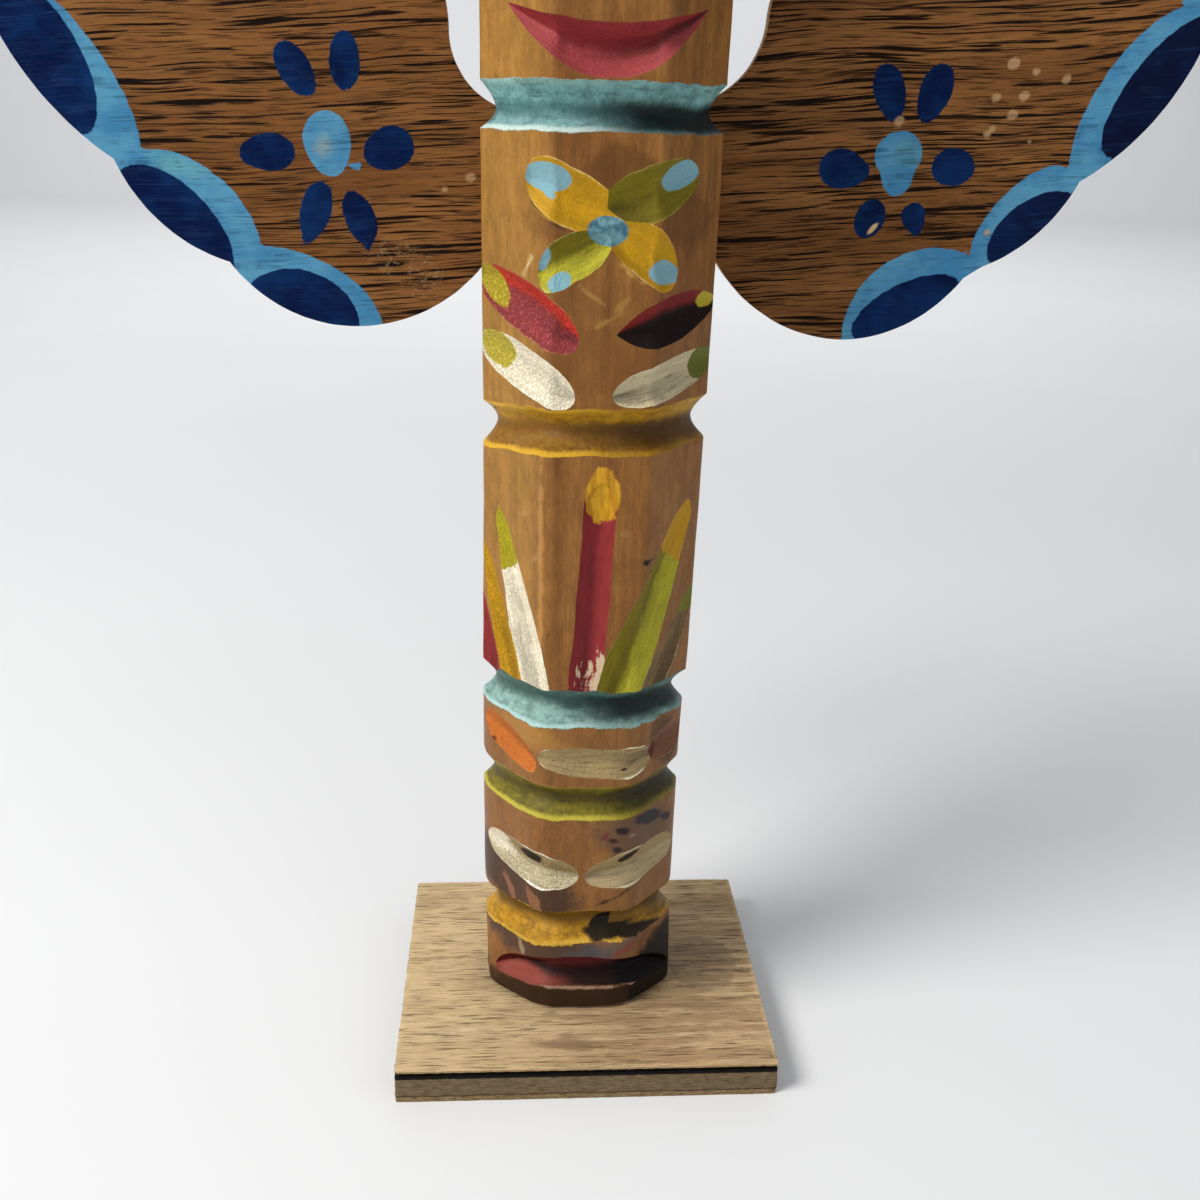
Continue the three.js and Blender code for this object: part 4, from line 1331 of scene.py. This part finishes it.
def build_board_wood():
    r = Group("board_wood", Place=ORIGIN)
    place = r.i.Place
    # The board's grain rises a little to the right, so its pores are laid out turned.
    turned = r.add("VectorRotate", {"Vector": place, "Angle": GRAIN_TURN}, rotation_type="Y_AXIS")
    sway = r.noise(place, (0.02, 0.02, 0.05), out=1)
    laid = r.vector("ADD", turned, r.vector("MULTIPLY", sway, (0, 0, 4)))
    bands = r.noise(laid, (0.012, 0.2, 0.16), 3, 0.6)
    fibres = r.noise(laid, (0.09, 1.0, 1.9), 3, 0.65)
    where = r.noise(place, (0.035, 0.1, 0.07))
    dashes = r.noise(laid, (0.06, 0.6, 2.0), 2, 0.5, 0.25) + where * 0.16
    more = r.noise(laid, (0.117, 0.78, 3.77), 2, 0.5, 0.2) + where * 0.12
    pores = r.sum("MAXIMUM", r.step(dashes, 0.645, 0.7), r.step(more, 0.655, 0.71) * 0.75)
    hair = r.step(r.noise(laid, (0.12, 1.2, 4.0)), 0.54, 0.68) * 0.5
    clouds = r.noise(place, (0.04, 0.04, 0.05), 3, 0.55)
    colour = r.mix(r.step(bands, 0.3, 0.7), "6b4423", "8e5f35")
    colour = r.tint(colour, "68401f", clouds, 0.4, 0.65, 0.5)
    colour = r.tint(colour, "966536", fibres, 0.4, 0.7, 0.35)
    colour = r.shade(colour, r.noise(place, 2.6, 2, 0.7) * 0.35 + 0.82)
    return r.give(
        Color=r.mix(r.sum("MAXIMUM", pores, hair), colour, "160c06"),
        Pores=pores,
        Height=fibres * 0.4 - pores - hair * 0.5,
        Roughness=clouds * 0.25 + 0.36,
    )


def board_front_finish():
    r = Finish("board_front")
    place = r.place()
    wood = r.use(BOARD_WOOD, Place=place)
    x = r.split(place)[0]
    lumps = r.lumps(place, 0.4) * 0.7
    sky, navy = (
        r.step(r.add("Attribute", {}, 2, attribute_name=name) + lumps, -0.1, 0.1)
        for name in ("light", "navy")
    )
    brushed = r.noise(place, (0.1, 0.1, 0.13), 3, 0.6)
    blue = r.mix(r.step(brushed, 0.35, 0.65), "3f7da6", "5592b2")
    blue = lay_dabs(r, place, blue, GREEN_HAZES, Wobble=1.6, Softness=1.2)
    blue = r.tint(blue, "24536a", r.noise(place, 0.9, 3, 0.6), 0.64, 0.74, 0.22)
    deep = r.mix(r.step(brushed, 0.35, 0.68), "02143c", "062a58")
    deep = r.tint(deep, "050824", x, 60, 100, 0.8)
    show = wood.Pores * r.step(r.noise(place, 0.3), 0.42, 0.62)
    blue = r.mix(show * 0.5, blue, "1c4358")
    deep = r.mix(show * 0.3, deep, "163a68")
    colour = r.mix(navy, r.mix(sky, wood.Color, blue), deep)

    colour = r.mix(dab(r, place, (55.1, 163.4), 1.5, 0.5, 48), colour, "c9a878")
    specks = [(middle, size, size * 0.85, 30, "bd9a70", 0.6) for middle, size in GLUE_SPECKS]
    colour = lay_dabs(r, place, colour, specks, Wobble=0.5, Softness=0.25)
    threads = abs(r.noise(place, (0.25, 0.25, 0.4), 4, 0.7) - 0.5)
    patch = dab(r, place, (-36.5, 154.0), 7.5, 4.0, -30, Wobble=3.0, Softness=1.5)
    colour = r.tint(colour, "b59a72", threads, 0.012, 0.003, patch * 0.6)
    painted = r.sum("MAXIMUM", sky, navy)
    gloss = r.mix(painted, wood.Roughness, brushed * 0.15 + 0.3)
    height = painted * 0.25 + wood.Height * r.step(painted, 1, 0, 0.3, 1)
    return r.done(colour, gloss, height, 0.14, 0.06)


def raw_wood_finish(name, light, dark, stretch):
    """Bare sawn wood: streaks, fine fibres and grit."""
    r = Finish(name)
    place = r.place()
    streaks = r.noise(place, stretch, 4, 0.65)
    grit = r.noise(place, 1.8, 3, 0.7)
    colour = r.mix(r.step(streaks, 0.32, 0.68), dark, light)
    return r.done(r.shade(colour, grit * 0.4 + 0.8), grit * 0.2 + 0.6, streaks + grit, 0.12)


def paint_board(board):
    board.data.materials.clear()
    board.data.materials.append(board_front_finish())
    board.data.materials.append(raw_wood_finish("board_edge", "cda77a", "8d6238", (0.1, 0.4, 1.6)))
    board.data.materials.append(raw_wood_finish("board_back", "8f6238", "4e3019", (0.05, 1, 1.4)))
    for face in board.data.polygons:
        facing = face.normal.y
        face.material_index = 0 if facing < -0.3 else 2 if facing > 0.9 else 1


BOARD_WOOD = build_board_wood()
paint_board(board)
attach(board, "root")
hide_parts("wings")
print("board finishes:", [m.name for m in board.data.materials])

# %% [markdown]
# ## The plate
# The plate is cut from plywood. A cube is sliced where the plies meet, its corners are worn
# round, and the open glue line is pushed in between the upper plies. It is sliced finely all
# over, so that the raw sides can be ragged, as coarse plywood is after the saw.

# %% Build the plate
PLATE_CORNER = 1.0
GLUE_LOW, GLUE_HIGH = 5.9, 6.7
GLUE_DEPTH = 1.5
BOTTOM_PLY = 1.5
PLATE_STEP = 0.9
PLATE_RIM = 0.32
PLATE_LEVELS = (
    BOTTOM_PLY, GLUE_LOW, GLUE_LOW + 0.1, GLUE_HIGH - 0.1, GLUE_HIGH,
    0.35, 2.6, 3.7, 4.8, FLOOR_OF_HEIGHTS - 0.4,
)


def slice_plate(axis, at):
    """Draws edges right round the plate, so many millimetres along an axis."""
    normal = [0, 0, 0]
    normal[axis] = 1
    bpy.ops.mesh.select_all(action="SELECT")
    bpy.ops.mesh.bisect(plane_co=[at * MM * share for share in normal], plane_no=normal)


def draw_plate():
    size = PLATE_HIGH - PLATE_LOW
    middle = (PLATE_HIGH + PLATE_LOW) / 2
    plate = new_piece("plywood_plate", bpy.ops.mesh.primitive_cube_add, size=1, location=middle)
    plate.scale = size
    bpy.ops.object.transform_apply(location=True, rotation=True, scale=True)
    bpy.ops.object.mode_set(mode="EDIT")
    pick(plate, "edges", lambda e: abs(e.verts[0].co.z - e.verts[1].co.z) > size.z / 2)
    bpy.ops.mesh.bevel(offset=PLATE_CORNER * MM, segments=3)
    for height in PLATE_LEVELS:
        slice_plate(2, height)
    for axis in (0, 1):
        half = size[axis] / 2 / MM
        for k in range(1, round(2 * half / PLATE_STEP)):
            slice_plate(axis, -half + k * PLATE_STEP)
    bpy.ops.object.mode_set(mode="OBJECT")
    return plate


def side_sink(x, y, z, on_end):
    """How far a place on the plate's sides is pushed in."""
    if GLUE_LOW + 0.05 < z < GLUE_HIGH - 0.05:
        return GLUE_DEPTH * (0.85 + 0.3 * rough((x, y, 0), 6.0, 9.0))
    sink = 0.16 * (1 + rough((y if on_end else x, x + y, 3 * z), 1.6, 4.0))
    if on_end:
        sink *= 1.7
    if z > FLOOR_OF_HEIGHTS - 0.05:
        sink = max(sink, 0.3 + 0.15 * rough((x, y, 0), 1.5, 2.0))
    if z < 0.05:
        sink = max(sink, 0.3)
    return sink


def weather_plate(plate):
    points = places(plate.data)
    half = np.array([PLATE_HIGH.x, PLATE_HIGH.y]) / MM
    for p in points:
        x, y, z = p
        near = half - np.abs((x, y))
        if min(near) < PLATE_RIM:
            p[:2] -= np.sign((x, y)) * (near < PLATE_RIM) * side_sink(x, y, z, near[0] < near[1])
        if z > FLOOR_OF_HEIGHTS - 0.05:
            grain = 0.5 + 0.5 * rough((0.12 * x, y, 0), 1.1, 6.0)
            nick = max(0, rough((0.3 * x, 1.4 * y, 0), 1.6, 12.0)) * smoothstep(near[0], 4.0, 0.0)
            p[2] -= 0.12 * grain + 0.7 * nick
    put(plate.data, points)


plate = draw_plate()
weather_plate(plate)
smooth_under(plate, 40)
print("plate:", len(plate.data.polygons), "faces", [round(v / MM, 1) for v in plate.dimensions])

# %% [markdown]
# ## Weathered plywood
# The top ply is pale and grey, with soft lines along its length and darker lines beside the
# foot. It is painted lighter towards the left, where the light falls, and a painted shadow lies
# right of the foot. The sides show the plies edge on: a pale one, the open joint painted black
# for dark glue and painted shade in its recess, a mottled core and a thin dark glue line above
# the lowest ply.

# %% Finish the plate
# Marks on the top, and the foot's painted shadow: middle x and y, half length, half width, angle,
# colour and strength.
PLATE_MARKS_AND_SHADOW = [
    # The first dab is painted shadow right of the foot's front corner.
    ((20.0, -14.0), 13.0, 2.0, -8, "6b543e", 0.35), ((-3.5, -26.4), 7.0, 1.3, -4, "7a624a", 0.6),
    ((-6.0, -24.8), 2.6, 0.7, 35, "8a7256", 0.5), ((-26.0, -21.6), 2.6, 0.5, 10, "e2cda2", 0.8),
    ((-22.0, -22.6), 1.6, 0.4, -20, "d8c298", 0.7), ((31.0, -3.0), 9.0, 0.35, 3, "3a2c1e", 0.7),
    ((33.0, 0.6), 8.0, 0.3, 2, "3a2c1e", 0.7), ((30.0, 3.4), 7.0, 0.3, 2, "3a2c1e", 0.6),
    ((32.0, -8.0), 7.0, 0.3, 1, "4a3a2a", 0.6), ((34.5, -12.6), 5.0, 0.35, 1, "4a3a2a", 0.6),
    ((28.0, 6.6), 8.0, 0.3, 2, "3a2c1e", 0.6), ((-34.0, 3.0), 7.0, 0.4, 3, "6b5236", 0.5),
    # This dab is the foot's painted shadow, right of the post.
    ((28.0, 0.0), 8.0, 10.0, 0, "66533d", 0.4),
]


def plate_top_finish():
    r = Finish("plate_top")
    place = r.place()
    x, y, _ = r.split(place)
    lines = r.noise(place, (0.03, 0.5, 1), 4, 0.65, 0.2)
    fibres = r.noise(place, (0.2, 3.0, 1), 3, 0.65)
    colour = r.mix(r.step(lines, 0.38, 0.62), "a98b64", "cbae84")
    # Painted light: the top is painted lighter towards the left, where the light falls.
    colour = r.tint(colour, "e6cc9c", x, 6, -34, 0.6)
    colour = r.tint(colour, "937a58", r.noise(place, (0.05, 0.08, 1), 3, 0.55), 0.45, 0.68, 0.5)
    colour = r.tint(colour, "806546", fibres, 0.5, 0.7, 0.5)
    colour = r.tint(colour, "513c27", r.noise(place, (0.12, 2.2, 1), 2, 0.55), 0.58, 0.66, 0.75)
    ticks = r.noise(place, (0.16, 4.2, 1), 2, 0.5, 0.2)
    colour = r.tint(colour, "5a452f", ticks, 0.58, 0.67, 0.65)
    colour = r.tint(colour, "e0c698", r.noise(place, (0.14, 2.24, 1.4), 3, 0.6), 0.58, 0.7, 0.5)
    near = r.sum("MINIMUM", 40.0 - abs(x), 34.0 - abs(y))
    frayed = r.step(near + r.noise(place, 0.8, 3) * 2.0, 2.6, 1.2)
    colour = r.tint(colour, "dcc090", fibres, 0.35, 0.6, frayed * 0.6)
    flipped = r.add("CombineXYZ", {0: x, 2: y + FLOOR_OF_HEIGHTS})
    colour = lay_dabs(r, flipped, colour, PLATE_MARKS_AND_SHADOW, Wobble=1.0, Softness=0.7)
    colour = r.shade(colour, r.noise(place, 2.2, 3, 0.7) * 0.3 + 0.86)
    return r.done(colour, fibres * 0.2 + 0.55, fibres * 0.5 + lines * 0.5, 0.22, 0.25)


def plate_side_finish():
    r = Finish("plate_side")
    place = r.place()
    z = r.split(place)[2]
    level = z + r.lumps(place, 0.35) * 0.5
    fibres = r.noise(place, (0.5, 0.5, 2.4), 4, 0.7)
    holes = r.noise(place, (0.35, 0.35, 0.9), 3, 0.6)
    colour = r.mix(r.step(fibres, 0.35, 0.65), "6f5838", "a08660")
    core = r.step(level, BOTTOM_PLY, BOTTOM_PLY + 0.4) * r.step(level, 6.2, 5.6)
    mottled = r.mix(r.step(holes, 0.4, 0.66), "655745", "443a2c")
    colour = r.mix(core * 0.55, colour, mottled)
    colour = r.tint(colour, "2a1d14", abs(level - BOTTOM_PLY), 0.3, 0.08, 0.75)
    # The open joint is painted near black: dark glue, and painted shade in the recess.
    colour = r.tint(colour, "0b0705", abs(z - (GLUE_LOW + GLUE_HIGH) / 2), 0.62, 0.4)
    colour = r.tint(colour, "ab9066", level, 6.9, 7.6, 0.5)
    return r.done(colour, 0.75, fibres - holes * 1.5, 0.3)


def finish_plate(plate):
    plate.data.materials.append(plate_top_finish())
    plate.data.materials.append(plate_side_finish())
    plate.data.materials.append(raw_wood_finish("plate_under", "b0936a", "84683f", (0.05, 0.6, 1)))
    for face in plate.data.polygons:
        on_top = face.normal.z > 0.6 and face.center.z >= PLATE_HIGH.z - 0.5 * MM
        face.material_index = 0 if on_top else 2 if face.center.z < 0.1 * MM else 1


finish_plate(plate)
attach(plate, "root")
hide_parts("base")
print("plate finishes:", [m.name for m in plate.data.materials])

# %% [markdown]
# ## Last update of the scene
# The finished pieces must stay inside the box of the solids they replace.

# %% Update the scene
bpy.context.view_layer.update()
